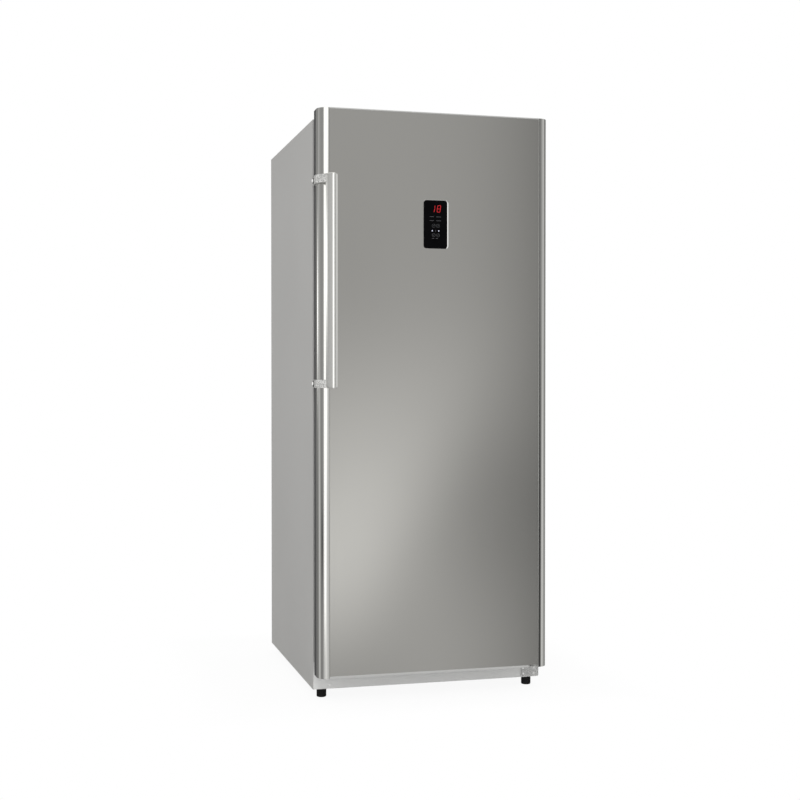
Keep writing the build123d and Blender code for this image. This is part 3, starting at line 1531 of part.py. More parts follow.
# Machine compartment cover: sheet with lanced louvres, screwed over the opening
louvre_z = (base_top + machine_top) / 2
gland_x = machine_half - 40
gland_z = base_top + 46
with BuildPart() as rear_cover:
    with BuildSketch(front_plane(cover_inner)):
        with Locations((0, base_top + cover_gap)):
            Rectangle(
                2 * (inner_half - cover_gap),
                machine_top - base_top - 2 * cover_gap,
                align=(Align.CENTER, Align.MIN),
            )
        with Locations((-louvre_length * 1.1, louvre_z), (louvre_length * 0.3, louvre_z)):
            with GridLocations(1, louvre_pitch, 1, louvre_rows):
                Rectangle(louvre_length, louvre_height, mode=Mode.SUBTRACT)
        with Locations(*cover_screws):
            Circle(screw_radius, mode=Mode.SUBTRACT)
        with Locations((gland_x, gland_z)):
            Circle(gland_radius - 2, mode=Mode.SUBTRACT)
    extrude(amount=-cover_sheet)
    for centre in (-louvre_length * 1.1, louvre_length * 0.3):
        for row in range(louvre_rows):
            hood_z = louvre_z + louvre_pitch * (row - (louvre_rows - 1) / 2) + louvre_height / 2
            with BuildSketch(Plane.YZ.offset(centre - louvre_length / 2)):
                Polygon(
                    (cover_plane, hood_z + 1.2),
                    (cover_inner, hood_z),
                    (cover_plane - louvre_height * 0.8, hood_z - louvre_height * 0.9),
                    (cover_plane - louvre_height * 0.8 + 0.9, hood_z - louvre_height),
                    align=None,
                )
            extrude(amount=louvre_length)

# Cord gland: flanged sleeve in the cover
with BuildPart() as cord_gland:
    with BuildSketch(front_plane(cover_plane)):
        with Locations((gland_x, gland_z)):
            Circle(gland_radius)
            Circle(gland_bore, mode=Mode.SUBTRACT)
    extrude(amount=-cover_inset)
    with BuildSketch(front_plane(cover_plane)):
        with Locations((gland_x, gland_z)):
            Circle(gland_radius - 2 - pin_clearance)
            Circle(gland_bore, mode=Mode.SUBTRACT)
    extrude(amount=14)

# Display: bevelled frame in the window, smoked glass, digits and the board behind
bezel_front = door_front - panel_proud
glass_front = bezel_front + panel_recess
glass_corner = panel_corner - panel_rim - panel_bevel
with BuildPart() as display_frame:
    with BuildSketch(front_plane(door_front)):
        with Locations((0, panel_centre)):
            RectangleRounded(panel_width, panel_height, panel_corner)
    extrude(amount=panel_proud)
    with BuildSketch(front_plane(door_front)):
        with Locations((0, panel_centre)):
            RectangleRounded(
                glass_width + 2 * panel_sleeve,
                glass_height + 2 * panel_sleeve,
                window_corner - panel_fit,
            )
    extrude(amount=-panel_depth)
    with BuildSketch(front_plane(bezel_front)):
        with Locations((0, panel_centre)):
            RectangleRounded(
                panel_width - 2 * panel_rim,
                panel_height - 2 * panel_rim,
                panel_corner - panel_rim,
            )
    extrude(
        amount=-panel_recess,
        taper=math.degrees(math.atan(panel_bevel / panel_recess)),
        mode=Mode.SUBTRACT,
    )
    with BuildSketch(front_plane(glass_front)):
        with Locations((0, panel_centre)):
            RectangleRounded(glass_width, glass_height, glass_corner)
    extrude(amount=-panel_depth, mode=Mode.SUBTRACT)

with BuildPart() as display_glass:
    with BuildSketch(front_plane(glass_front)):
        with Locations((0, panel_centre)):
            RectangleRounded(glass_width, glass_height, glass_corner)
    extrude(amount=-panel_glass)

board_front = glass_front + panel_glass + 6
with BuildPart() as display_board:
    with BuildSketch(front_plane(glass_front + panel_glass)):
        with Locations((digits_x, panel_centre + digits_above_centre)):
            Rectangle(44, 26)
    extrude(amount=-6)
    with BuildSketch(front_plane(board_front)):
        with Locations((0, panel_centre)):
            RectangleRounded(glass_width, glass_height, glass_corner)
    extrude(amount=-1.6)


def segments(lit):
    """Slanted bars of one digit about its own centre; lit picks them in the order a to g."""
    half_w = digit_width / 2
    half_h = digit_height / 2
    lean = math.tan(math.radians(digit_lean))
    ends = [
        ((-half_w, half_h), (half_w, half_h)),
        ((half_w, half_h), (half_w, 0)),
        ((half_w, 0), (half_w, -half_h)),
        ((-half_w, -half_h), (half_w, -half_h)),
        ((-half_w, 0), (-half_w, -half_h)),
        ((-half_w, half_h), (-half_w, 0)),
        ((-half_w, 0), (half_w, 0)),
    ]
    for wanted, (start, stop) in zip(lit, ends):
        if wanted == "1":
            x0, z0 = start[0] + start[1] * lean, start[1]
            x1, z1 = stop[0] + stop[1] * lean, stop[1]
            length = math.hypot(x1 - x0, z1 - z0) - digit_stroke * 0.35
            with Locations(Location(((x0 + x1) / 2, (z0 + z1) / 2, 0), (0, 0, math.degrees(math.atan2(z1 - z0, x1 - x0))))):
                SlotOverall(length, digit_stroke * 0.8)


with BuildPart() as display_digits:
    with BuildSketch(front_plane(glass_front)):
        with Locations((digits_x - digit_pitch / 2, panel_centre + digits_above_centre)):
            segments("0110000")
        with Locations((digits_x + digit_pitch / 2, panel_centre + digits_above_centre)):
            segments("1111111")
    extrude(amount=digit_film)

# Printed marks on the glass: short labels, rings and dots in two columns
with BuildPart() as display_marks:
    with BuildSketch(front_plane(glass_front)):
        for row in label_rows:
            with Locations(*[(x, panel_centre + row) for x in mark_columns]):
                Rectangle(9, 1.2)
        for row in ring_rows:
            with Locations(*[(x, panel_centre + row) for x in mark_columns]):
                Circle(mark_ring_radius)
                Circle(mark_ring_radius - mark_line, mode=Mode.SUBTRACT)
        with Locations(*[(x, panel_centre + dot_row) for x in mark_columns]):
            Circle(1.3)
    extrude(amount=digit_film)

pieces = {
    "outer_case": outer_case,
    "front_rail": front_rail,
    "base_plate": base_plate,
    "back_panel": back_panel,
    "inner_liner": inner_liner,
    "foam_insulation": foam_insulation,
    "evaporator_cover": evaporator_cover,
    "evaporator_coil": evaporator_coil,
    "defrost_heater": defrost_heater,
    "fan_motor": fan_motor,
    "fan_blade": fan_blade,
    "lamp_cover": lamp_cover,
    "shelf_trims": shelf_trims,
    "drawer_runners": drawer_runners,
    "drawer_lower": drawers["lower"],
    "drawer_upper": drawers["upper"],
    "top_hinge": top_hinge,
    "lower_hinge": lower_hinge,
    "hinge_pins": hinge_pins,
    "case_screws": case_screws,
    "top_hinge_cover": top_hinge_cover,
    "foot_left": feet["left"],
    "foot_right": feet["right"],
    "roller_left": rollers["left"],
    "roller_right": rollers["right"],
    "roller_brackets": roller_brackets,
    "compressor": compressor,
    "compressor_mounts": compressor_mounts,
    "relay_cover": relay_cover,
    "drip_tray": drip_tray,
    "filter_drier": filter_drier,
    "refrigerant_pipes": refrigerant_pipes,
    "rear_cover": rear_cover,
    "cord_gland": cord_gland,
    "door_column_left": columns["left"],
    "door_column_right": columns["right"],
    "door_skin": door_skin,
    "door_top_cap": door_top_cap,
    "door_bottom_cap": door_bottom_cap,
    "door_frame": door_frame,
    "door_foam": door_foam,
    "door_liner": door_liner,
    "door_gasket": door_gasket,
    "hinge_bushes": hinge_bushes,
    "handle_bar": handle_bar,
    "handle_straps": handle_straps,
    "handle_screws": handle_screws,
    "display_frame": display_frame,
    "display_glass": display_glass,
    "display_board": display_board,
    "display_digits": display_digits,
    "display_marks": display_marks,
}
for i, pane in enumerate(shelf_panes):
    pieces[f"shelf_glass_{i + 1}"] = pane
for i, door_bin in enumerate(door_bins):
    pieces[f"door_bin_{i + 1}"] = door_bin

for name, piece in pieces.items():
    piece.part.label = name
    export_step(piece.part, f"parts/{name}.step")
print(len(pieces), "pieces")
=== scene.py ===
import json
import math

import bpy
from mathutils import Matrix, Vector


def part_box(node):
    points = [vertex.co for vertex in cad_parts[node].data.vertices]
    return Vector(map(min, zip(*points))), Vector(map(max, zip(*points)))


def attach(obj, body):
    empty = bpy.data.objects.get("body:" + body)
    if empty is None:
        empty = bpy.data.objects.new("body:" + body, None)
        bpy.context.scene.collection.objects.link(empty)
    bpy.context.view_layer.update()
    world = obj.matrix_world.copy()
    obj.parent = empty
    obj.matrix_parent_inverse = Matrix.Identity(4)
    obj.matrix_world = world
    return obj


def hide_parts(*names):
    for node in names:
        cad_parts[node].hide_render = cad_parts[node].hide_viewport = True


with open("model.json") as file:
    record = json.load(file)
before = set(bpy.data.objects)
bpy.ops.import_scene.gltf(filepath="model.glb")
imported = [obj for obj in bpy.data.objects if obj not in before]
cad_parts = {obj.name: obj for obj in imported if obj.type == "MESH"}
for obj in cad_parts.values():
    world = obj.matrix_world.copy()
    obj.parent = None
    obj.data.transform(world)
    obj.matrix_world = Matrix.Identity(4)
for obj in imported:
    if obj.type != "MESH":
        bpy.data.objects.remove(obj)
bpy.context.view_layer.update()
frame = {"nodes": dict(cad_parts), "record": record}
nodes = frame["nodes"]
print("frame loaded,", len(nodes), "nodes")

scene = bpy.context.scene
scene.view_settings.view_transform = "Standard"

camera = {
    "place": (-1.11071, -4.12479, 0.93111),
    "tiltDown": 0.836,  # degrees
    "turn": -14.995,
    "lens": 60.03,
}
camData = bpy.data.cameras.new("photoCamera")
camData.lens = camera["lens"]
camData.sensor_width = 36
cam = bpy.data.objects.new("photoCamera", camData)
cam.location = camera["place"]
cam.rotation_euler = (math.radians(90 - camera["tiltDown"]), 0, math.radians(camera["turn"]))
scene.collection.objects.link(cam)
scene.camera = cam
print("camera set")


# Helpers for node trees
def addNode(tree, kind, inputs=None, **settings):
    node = tree.nodes.new(kind)
    for key, value in settings.items():
        setattr(node, key, value)
    for key, value in (inputs or {}).items():
        feed(tree, node.inputs[key], value)
    return node


def feed(tree, socket, value):
    if isinstance(value, bpy.types.NodeSocket):
        tree.links.new(value, socket)
    elif isinstance(value, (tuple, list)) and len(value) == 3 and socket.type == "RGBA":
        socket.default_value = (*value, 1)
    else:
        socket.default_value = value


def sums(tree, operation, a, b=None, c=None, clamp=False):
    node = addNode(tree, "ShaderNodeMath", operation=operation, use_clamp=clamp)
    for socket, value in zip(node.inputs, (a, b, c)):
        if value is not None:
            feed(tree, socket, value)
    return node.outputs[0]


# 0 at the value start, 1 at the value stop, smooth between
def smoothStep(tree, value, start, stop):
    step = addNode(tree, "ShaderNodeMapRange", {"Value": value}, interpolation_type="SMOOTHSTEP")
    turned = start > stop
    step.inputs["From Min"].default_value = stop if turned else start
    step.inputs["From Max"].default_value = start if turned else stop
    step.inputs["To Min"].default_value = 1 if turned else 0
    step.inputs["To Max"].default_value = 0 if turned else 1
    return step.outputs["Result"]


def blend(tree, share, low, high):
    mix = addNode(tree, "ShaderNodeMix", {0: share, 2: low, 3: high}, data_type="FLOAT")
    return mix.outputs[0]


def makeGroup(name, inputs, outputs):
    tree = bpy.data.node_groups.new(name, "ShaderNodeTree")
    for label, kind, value in inputs:
        socket = tree.interface.new_socket(label, in_out="INPUT", socket_type="NodeSocket" + kind)
        socket.default_value = value
    for label, kind in outputs:
        tree.interface.new_socket(label, in_out="OUTPUT", socket_type="NodeSocket" + kind)
    return tree, tree.nodes.new("NodeGroupInput").outputs, tree.nodes.new("NodeGroupOutput")


# The room that the shiny parts mirror: for each azimuth in degrees from the front toward +X,
# the brightness above and below the level, with a few boxes and spots on top
studio = {
    "fillLevel": 0.93,  # light on matt surfaces
    "darkest": 0.02,
    "bandsApart": 20,  # degrees of height between the two rows of brightness
    "bands": [
        (-180, 0.16, 0.14), (-171, 0.14, 0.13), (-165, 0.14, 0.14), (-158, 0.32, 0.25), (-150, 0.42, 0.22),
        (-140, 0.20, 0.12), (-125, 0.30, 0.28), (-115, 0.45, 0.25), (-105, 0.40, 0.66), (-92, 0.29, 0.39),
        (-78, 0.31, 0.21), (-61, 0.24, 0.26), (-53, 0.42, 0.38), (-46, 0.56, 0.50), (-18, 1.0, 0.80),
        (-10, 1.0, 0.60), (-2, 0.55, 0.60), (8, 0.50, 0.45), (13, 0.53, 0.45), (17, 0.53, 0.63),
        (20.2, 0.46, 0.47), (22.5, 0.15, 0.12), (31, 0.14, 0.03), (46, 0.26, 0.07), (58, 0.34, 0.44),
        (73, 0.48, 0.72), (81, 0.66, 0.45), (97, 0.24, 0.36), (112, 0.24, 0.28), (128, 0.22, 0.24),
        (148, 0.42, 0.42), (180, 0.16, 0.14),
    ],
    "whiteBox": dict(left=(-46, -41), right=(-2.5, -9.5), lean=0.5, pivot=10, below=(-26, -20), level=1.3),
    "warmBox": dict(left=(9.2, 11.2), right=(19.2, 15.9), lean=0.53, pivot=-1.9,
                    above=(4.6, -9.5), below=(-12.8, -9.4), gain=0.72),
    "spots": [
        dict(az=18.4, el=-5.6, wide=2.7, tall=3.9, gain=-0.22),
        dict(az=-131, el=5.3, wide=8, tall=4.6, gain=1.75),
        dict(az=-66, el=-14, wide=9, tall=4, gain=-0.22),
    ],
    "ceiling": dict(above=(28, 50), level=1.15),
    "tint": (1.0, 0.995, 0.975),
}


# Share of a box whose right side leans; each edge fades between two values
def leaningBox(tree, azimuth, height, box):
    rise = sums(tree, "SUBTRACT", height, box["pivot"])
    slanted = sums(tree, "MULTIPLY_ADD", rise, -box["lean"], azimuth)
    left = smoothStep(tree, azimuth, *box["left"])
    right = smoothStep(tree, slanted, *box["right"])
    below = smoothStep(tree, height, *box["below"])
    return sums(tree, "MULTIPLY", sums(tree, "MULTIPLY", left, right), below)


def mirroredRoom(tree):
    spot = addNode(tree, "ShaderNodeTexCoord").outputs["Generated"]
    x, y, z = addNode(tree, "ShaderNodeSeparateXYZ", {"Vector": spot}).outputs
    heading = sums(tree, "ARCTAN2", x, sums(tree, "MULTIPLY", y, -1))
    azimuth = sums(tree, "MULTIPLY", heading, 180 / math.pi)
    height = sums(tree, "MULTIPLY", sums(tree, "ARCSINE", z), 180 / math.pi)
    turn = sums(tree, "MULTIPLY_ADD", azimuth, 1 / 360, 0.5)
    levels = []
    for row in (2, 1):
        ramp = addNode(tree, "ShaderNodeValToRGB", {"Fac": turn})
        stops = ramp.color_ramp.elements
        stops.remove(stops[-1])
        for i, band in enumerate(studio["bands"]):
            place = band[0] / 360 + 0.5
            stop = stops[0] if i == 0 else stops.new(place)
            stop.position = place
            stop.color = (band[row], band[row], band[row], 1)
        shade = addNode(tree, "ShaderNodeSeparateColor", {"Color": ramp.outputs["Color"]})
        levels.append(shade.outputs[0])
    low, high = levels
    upward = sums(tree, "MULTIPLY_ADD", height, 1 / studio["bandsApart"], 0.5, clamp=True)
    level = blend(tree, upward, low, high)
    white = studio["whiteBox"]
    level = blend(tree, leaningBox(tree, azimuth, height, white), level, white["level"])
    warm = studio["warmBox"]
    above = smoothStep(tree, height, *warm["above"])
    inside = sums(tree, "MULTIPLY", leaningBox(tree, azimuth, height, warm), above)
    level = sums(tree, "MULTIPLY_ADD", inside, warm["gain"], level)
    for spot in studio["spots"]:
        across = sums(tree, "DIVIDE", sums(tree, "SUBTRACT", azimuth, spot["az"]), spot["wide"])
        up = sums(tree, "DIVIDE", sums(tree, "SUBTRACT", height, spot["el"]), spot["tall"])
        squares = sums(tree, "ADD", sums(tree, "MULTIPLY", across, across), sums(tree, "MULTIPLY", up, up))
        bell = sums(tree, "EXPONENT", sums(tree, "MULTIPLY", squares, -1))
        level = sums(tree, "MULTIPLY_ADD", bell, spot["gain"], level)
    ceiling = studio["ceiling"]
    level = blend(tree, smoothStep(tree, height, *ceiling["above"]), level, ceiling["level"])
    level = sums(tree, "MAXIMUM", level, studio["darkest"])
    tinted = addNode(tree, "ShaderNodeVectorMath", {0: level, 1: studio["tint"]}, operation="MULTIPLY")
    return tinted.outputs[0]


def buildStudio():
    world = bpy.data.worlds.new("studioRoom")
    scene.world = world
    world.use_nodes = True
    tree = world.node_tree
    tree.nodes.clear()
    # The camera sees plain white, shiny surfaces the room and matt ones an even fill
    path = addNode(tree, "ShaderNodeLightPath").outputs
    room = addNode(tree, "ShaderNodeMix", data_type="RGBA")
    feed(tree, room.inputs[0], path["Is Camera Ray"])
    feed(tree, room.inputs[6], mirroredRoom(tree))
    feed(tree, room.inputs[7], (1, 1, 1))
    shiny = sums(tree, "ADD", path["Is Glossy Ray"], path["Is Transmission Ray"])
    seen = sums(tree, "ADD", path["Is Camera Ray"], shiny, clamp=True)
    light = addNode(tree, "ShaderNodeMix", data_type="RGBA")
    feed(tree, light.inputs[0], seen)
    feed(tree, light.inputs[6], (studio["fillLevel"],) * 3)
    feed(tree, light.inputs[7], room.outputs[2])
    back = addNode(tree, "ShaderNodeBackground", {"Color": light.outputs[2], "Strength": 1.0})
    out = addNode(tree, "ShaderNodeOutputWorld")
    tree.links.new(back.outputs[0], out.inputs[0])


buildStudio()

lamps = {
    "keyLamp": {"place": (-1.6, -3.4, 2.9), "aim": (0, -0.3, 0.9), "size": 1.6, "power": 24},
    "lowLamp": {"place": (-0.35, -2.6, 0.30), "aim": (0.05, -0.3, 0.05), "size": 0.9, "power": 7},
}


def addLamp(name, look):
    data = bpy.data.lights.new(name, "AREA")
    data.energy = look["power"]
    data.size = look["size"]
    lamp = bpy.data.objects.new(name, data)
    lamp.location = look["place"]
    aim = Vector(look["aim"]) - Vector(look["place"])
    lamp.rotation_euler = aim.to_track_quat("-Z", "Y").to_euler()
    lamp.visible_glossy = False
    scene.collection.objects.link(lamp)


for lampName, lampLook in lamps.items():
    addLamp(lampName, lampLook)
print("studio lit")


# Surface effects shared by the materials: each gives a fine tone, a height for the bump and a soft cloud
def startEffect(name, inputs):
    outputs = [("Tone", "Float"), ("Height", "Float"), ("Cloud", "Float")]
    tree, ins, out = makeGroup(name, inputs, outputs)
    return tree, ins, out, addNode(tree, "ShaderNodeTexCoord").outputs["Object"]


def endEffect(tree, out, tone, height, cloud):
    feed(tree, out.inputs["Tone"], tone)
    feed(tree, out.inputs["Height"], height)
    feed(tree, out.inputs["Cloud"], cloud)
    return tree


def noise(tree, spot, scale, detail, **more):
    inputs = {"Vector": spot, "Scale": scale, "Detail": detail, **more}
    return addNode(tree, "ShaderNodeTexNoise", inputs).outputs["Fac"]


def brushedLines():
    inputs = [("Stretch", "Vector", (900, 900, 6)), ("Cloud", "Float", 3.0)]
    tree, ins, out, spot = startEffect("brushedLines", inputs)
    lines = addNode(tree, "ShaderNodeVectorMath", {0: spot, 1: ins["Stretch"]}, operation="MULTIPLY")
    fine = noise(tree, lines.outputs[0], 1.0, 3.0, Roughness=0.6)
    return endEffect(tree, out, fine, fine, noise(tree, spot, ins["Cloud"], 2.0))


def mouldedSkin():
    inputs = [("Grain", "Float", 1400.0), ("Cloud", "Float", 6.0)]
    tree, ins, out, spot = startEffect("mouldedSkin", inputs)
    grain = {"Vector": spot, "Scale": ins["Grain"]}
    cells = addNode(tree, "ShaderNodeTexVoronoi", grain, feature="SMOOTH_F1")
    fine = noise(tree, spot, ins["Grain"], 2.0)
    height = sums(tree, "MULTIPLY_ADD", cells.outputs["Distance"], 0.6, fine)
    return endEffect(tree, out, fine, height, noise(tree, spot, ins["Cloud"], 3.0))


def paintPeel():
    inputs = [("Grain", "Float", 520.0), ("Cloud", "Float", 2.2)]
    tree, ins, out, spot = startEffect("paintPeel", inputs)
    peel = noise(tree, spot, ins["Grain"], 1.0, Distortion=0.4)
    fleck = noise(tree, spot, sums(tree, "MULTIPLY", ins["Grain"], 4.0), 1.0)
    return endEffect(tree, out, fleck, peel, noise(tree, spot, ins["Cloud"], 2.0))


def castGrit():
    inputs = [("Grain", "Float", 420.0), ("Cloud", "Float", 60.0)]
    tree, ins, out, spot = startEffect("castGrit", inputs)
    grit = noise(tree, spot, ins["Grain"], 5.0, Roughness=0.7)
    limits = {"Value": grit, "From Min": 0.36, "From Max": 0.64}
    sharp = addNode(tree, "ShaderNodeMapRange", limits).outputs["Result"]
    return endEffect(tree, out, sharp, grit, noise(tree, spot, ins["Cloud"], 3.0))


effects = {"brushed": brushedLines(), "moulded": mouldedSkin(), "peel": paintPeel(), "grit": castGrit()}


# One finish: an effect group drives colour, roughness and bump; what is plain sits on the shader
def makeFinish(name, look):
    material = bpy.data.materials.new(name)
    material.use_nodes = True
    tree = material.node_tree
    shader = tree.nodes["Principled BSDF"]
    effect = addNode(tree, "ShaderNodeGroup", node_tree=effects[look["effect"]])
    for key, value in look.get("grain", {}).items():
        effect.inputs[key].default_value = value
    share = look.get("toneShare", 0.5)
    cloud = sums(tree, "MULTIPLY", effect.outputs["Cloud"], 1 - share)
    tone = sums(tree, "MULTIPLY_ADD", effect.outputs["Tone"], share, cloud)
    limits = {"Value": tone, "From Min": 0.3, "From Max": 0.7}
    mask = addNode(tree, "ShaderNodeMapRange", limits).outputs["Result"]
    colour = addNode(tree, "ShaderNodeMix", data_type="RGBA")
    low, high = look["colours"]
    feed(tree, colour.inputs[0], mask)
    feed(tree, colour.inputs[6], low)
    feed(tree, colour.inputs[7], high)
    feed(tree, shader.inputs["Base Color"], colour.outputs[2])
    smooth, rough = look["roughness"]
    feed(tree, shader.inputs["Roughness"], blend(tree, mask, smooth, rough))
    if look.get("bump"):
        strength, distance = look["bump"]
        height = effect.outputs["Height"]
        bump = addNode(tree, "ShaderNodeBump", {"Strength": strength, "Distance": distance, "Height": height})
        feed(tree, shader.inputs["Normal"], bump.outputs["Normal"])
    shader.inputs["Metallic"].default_value = look.get("metallic", 0)
    for socket, value in look.get("plain", {}).items():
        feed(tree, shader.inputs[socket], value)
    if "glow" in look:
        feed(tree, shader.inputs["Emission Color"], colour.outputs[2])
        shader.inputs["Emission Strength"].default_value = look["glow"]
    return material


# Brushing along Z, finer along Z, and along X
upright = {"Stretch": (1500, 1500, 5), "Cloud": 2.5}
fineUpright = {"Stretch": (2600, 2600, 3), "Cloud": 2.0}
level = {"Stretch": (5, 900, 1500), "Cloud": 2.5}


def paint(colour, rough=0.38, bump=0.05):
    dark = tuple(c * 0.97 for c in colour)
    return dict(effect="peel", colours=(dark, colour), roughness=(rough, rough + 0.06),
                bump=(bump, 0.0004), toneShare=0.3)


def plastic(colour, rough=0.4, grain=1400.0, bump=0.12, **plain):
    dark = tuple(c * 0.93 for c in colour)
    return dict(effect="moulded", colours=(dark, colour), roughness=(rough, rough + 0.08),
                bump=(bump, 0.0002), grain={"Grain": grain}, plain=plain)


def metal(colour, rough=0.2, lines=upright, bump=0.04, share=0.6, contrast=0.9, spread=0.07):
    dark = tuple(c * contrast for c in colour)
    return dict(effect="brushed", colours=(dark, colour), roughness=(rough, rough + spread), metallic=1.0,
                bump=(bump, 0.0002), grain=lines, toneShare=share)


finishes = {
    "case_paint": paint((0.443, 0.439, 0.428), 0.42),
    # Lighter than the case paint: partly a lighter paint on the plinth, partly painted light that makes up
    # for the shade under the door's overhang
    "rail_light": paint((0.68, 0.68, 0.67), 0.40),
    "base_steel": paint((0.26, 0.27, 0.275), 0.45),
    "back_steel": metal((0.60, 0.61, 0.62), 0.42, level, 0.06),
    "liner_white": plastic((0.84, 0.85, 0.85), 0.22, 700.0, 0.04),
    "foam": plastic((0.80, 0.71, 0.50), 0.85, 500.0, 0.6),
    "cover_white": plastic((0.82, 0.83, 0.83), 0.42, 1500.0, 0.2),
    "fin_aluminium": metal((0.76, 0.77, 0.78), 0.3, {"Stretch": (4, 60, 900), "Cloud": 20.0}, 0.2),
    "heater_steel": metal((0.50, 0.50, 0.50), 0.3, level),
    "motor_grey": plastic((0.10, 0.10, 0.105), 0.5),
    "fan_white": plastic((0.78, 0.79, 0.79), 0.3),
    "lamp_lens": plastic((0.86, 0.87, 0.86), 0.25, 300.0, 0.2, **{"Transmission Weight": 0.35}),
    "shelf_pane": dict(
        effect="moulded", colours=((0.82, 0.93, 0.89), (0.88, 0.96, 0.93)), roughness=(0.02, 0.05),
        grain={"Grain": 90.0}, plain={"Transmission Weight": 0.95, "IOR": 1.5},
    ),
    "trim_white": plastic((0.80, 0.81, 0.82), 0.28, 900.0, 0.05),
    "drawer_clear": dict(
        effect="moulded", colours=((0.70, 0.80, 0.84), (0.80, 0.88, 0.91)), roughness=(0.10, 0.18),
        grain={"Grain": 240.0}, bump=(0.05, 0.0003), plain={"Transmission Weight": 0.72, "IOR": 1.49},
    ),
    "hinge_paint": dict(
        effect="grit", colours=((0.31, 0.31, 0.305), (0.64, 0.64, 0.63)), roughness=(0.35, 0.55),
        metallic=0.2, bump=(0.3, 0.0004), grain={"Grain": 330.0, "Cloud": 90.0}, toneShare=0.92,
    ),
    "pin_steel": metal((0.62, 0.62, 0.62), 0.18, level),
    # Near-white and barely metallic: a pale steel whose colour also paints the glint of the polished heads
    "screw_steel": dict(
        effect="brushed", colours=((0.86, 0.86, 0.85), (0.97, 0.97, 0.96)), roughness=(0.16, 0.24),
        metallic=0.15, bump=(0.03, 0.0002), grain=level,
    ),
    "bush_plastic": plastic((0.68, 0.68, 0.66), 0.45),
    "foot_black": plastic((0.004, 0.004, 0.0043), 0.36, 900.0, 0.2, **{"Specular IOR Level": 0.2}),
    "roller_black": plastic((0.03, 0.03, 0.032), 0.45),
    "bracket_zinc": metal((0.58, 0.59, 0.60), 0.38, level, 0.1),
    "compressor_black": paint((0.022, 0.022, 0.023), 0.30, 0.15),
    "grommet_rubber": plastic((0.022, 0.022, 0.022), 0.75, 900.0, 0.3),
    "relay_black": plastic((0.04, 0.04, 0.041), 0.5),
    "tray_grey": plastic((0.18, 0.18, 0.19), 0.5),
    "copper": metal((0.74, 0.40, 0.25), 0.26, {"Stretch": (40, 40, 40), "Cloud": 18.0}, 0.05, 0.3, 0.75),
    "door_steel": metal((0.57, 0.565, 0.545), 0.12, upright, 0.02, 0.5, 0.97, 0.03),
    "column_alu": metal((0.87, 0.87, 0.85), 0.08, fineUpright, 0.02, 0.7, 0.93),
    "cap_grey": plastic((0.44, 0.44, 0.43), 0.42),
    "frame_dark": plastic((0.045, 0.045, 0.048), 0.62),
    "gasket_grey": plastic((0.16, 0.16, 0.17), 0.62, 700.0, 0.2),
    "handle_alu": dict(
        effect="brushed", colours=((0.82, 0.82, 0.80), (0.88, 0.88, 0.86)), roughness=(0.09, 0.15),
        metallic=0.88, bump=(0.03, 0.0002), grain={"Stretch": (900, 900, 3), "Cloud": 3.0}, toneShare=0.8,
    ),
    "strap_alu": dict(
        effect="grit", colours=((0.38, 0.38, 0.37), (0.84, 0.84, 0.82)), roughness=(0.28, 0.48),
        metallic=0.35, bump=(0.4, 0.0004), grain={"Grain": 270.0, "Cloud": 90.0}, toneShare=0.9,
    ),
    "cap_black": metal((0.30, 0.30, 0.29), 0.07, level, 0.01),
    "bezel_silver": metal((0.64, 0.64, 0.63), 0.10, level, 0.01, 0.5, 0.96, 0.03),
    "display_black": dict(
        effect="moulded", colours=((0.0008, 0.0008, 0.001), (0.0018, 0.0018, 0.0022)),
        roughness=(0.05, 0.10), grain={"Grain": 30.0}, plain={"Specular IOR Level": 0.05},
    ),
    "board_green": plastic((0.04, 0.18, 0.08), 0.5),
    "digit_red": dict(
        effect="moulded", colours=((0.34, 0.006, 0.009), (0.52, 0.013, 0.016)), roughness=(0.3, 0.4),
        grain={"Grain": 260.0}, glow=0.85,
    ),
    "mark_white": dict(
        effect="moulded", colours=((0.24, 0.25, 0.28), (0.42, 0.43, 0.47)), roughness=(0.5, 0.6),
        grain={"Grain": 420.0},
    ),
}
materials = {slotName: makeFinish(slotName, look) for slotName, look in finishes.items()}
dotWhite = makeFinish("dotWhite", dict(
    effect="moulded", colours=((0.60, 0.63, 0.80), (0.75, 0.78, 0.92)), roughness=(0.5, 0.6),
    grain={"Grain": 420.0}, glow=0.15,
))
markGrey = makeFinish("markGrey", dict(
    effect="moulded", colours=((0.05, 0.05, 0.055), (0.15, 0.15, 0.16)), roughness=(0.5, 0.6),
    grain={"Grain": 900.0},
))
slotOf = {part["node"]: part["material_slot"] for part in frame["record"]["subparts"]}
for nodeName, node in nodes.items():
    node.data.materials.clear()
    node.data.materials.append(materials[slotOf[nodeName]])
print("finishes made,", len(materials))


# Helpers for meshes
def addPiece(name, verts, faces, sharpAngle=32):
    mesh = bpy.data.meshes.new(name)
    mesh.from_pydata([tuple(v) for v in verts], [], faces)
    mesh.validate()
    mesh.update()
    mesh.shade_smooth()
    mesh.set_sharp_from_angle(angle=math.radians(sharpAngle))
    piece = bpy.data.objects.new(name, mesh)
    scene.collection.objects.link(piece)
    return piece


# finish, where given, stands in for the slot's own material
def dress(piece, slotName, body, *replaced, finish=None):
    piece.data.materials.clear()
    piece.data.materials.append(finish or materials[slotName])
    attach(piece, body)
    if replaced:
        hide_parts(*replaced)


def fullTurn(count):
    return [2 * math.pi * i / count for i in range(count)]


def quarterTurn(steps):
    return [math.pi / 2 * step / steps for step in range(steps + 1)]


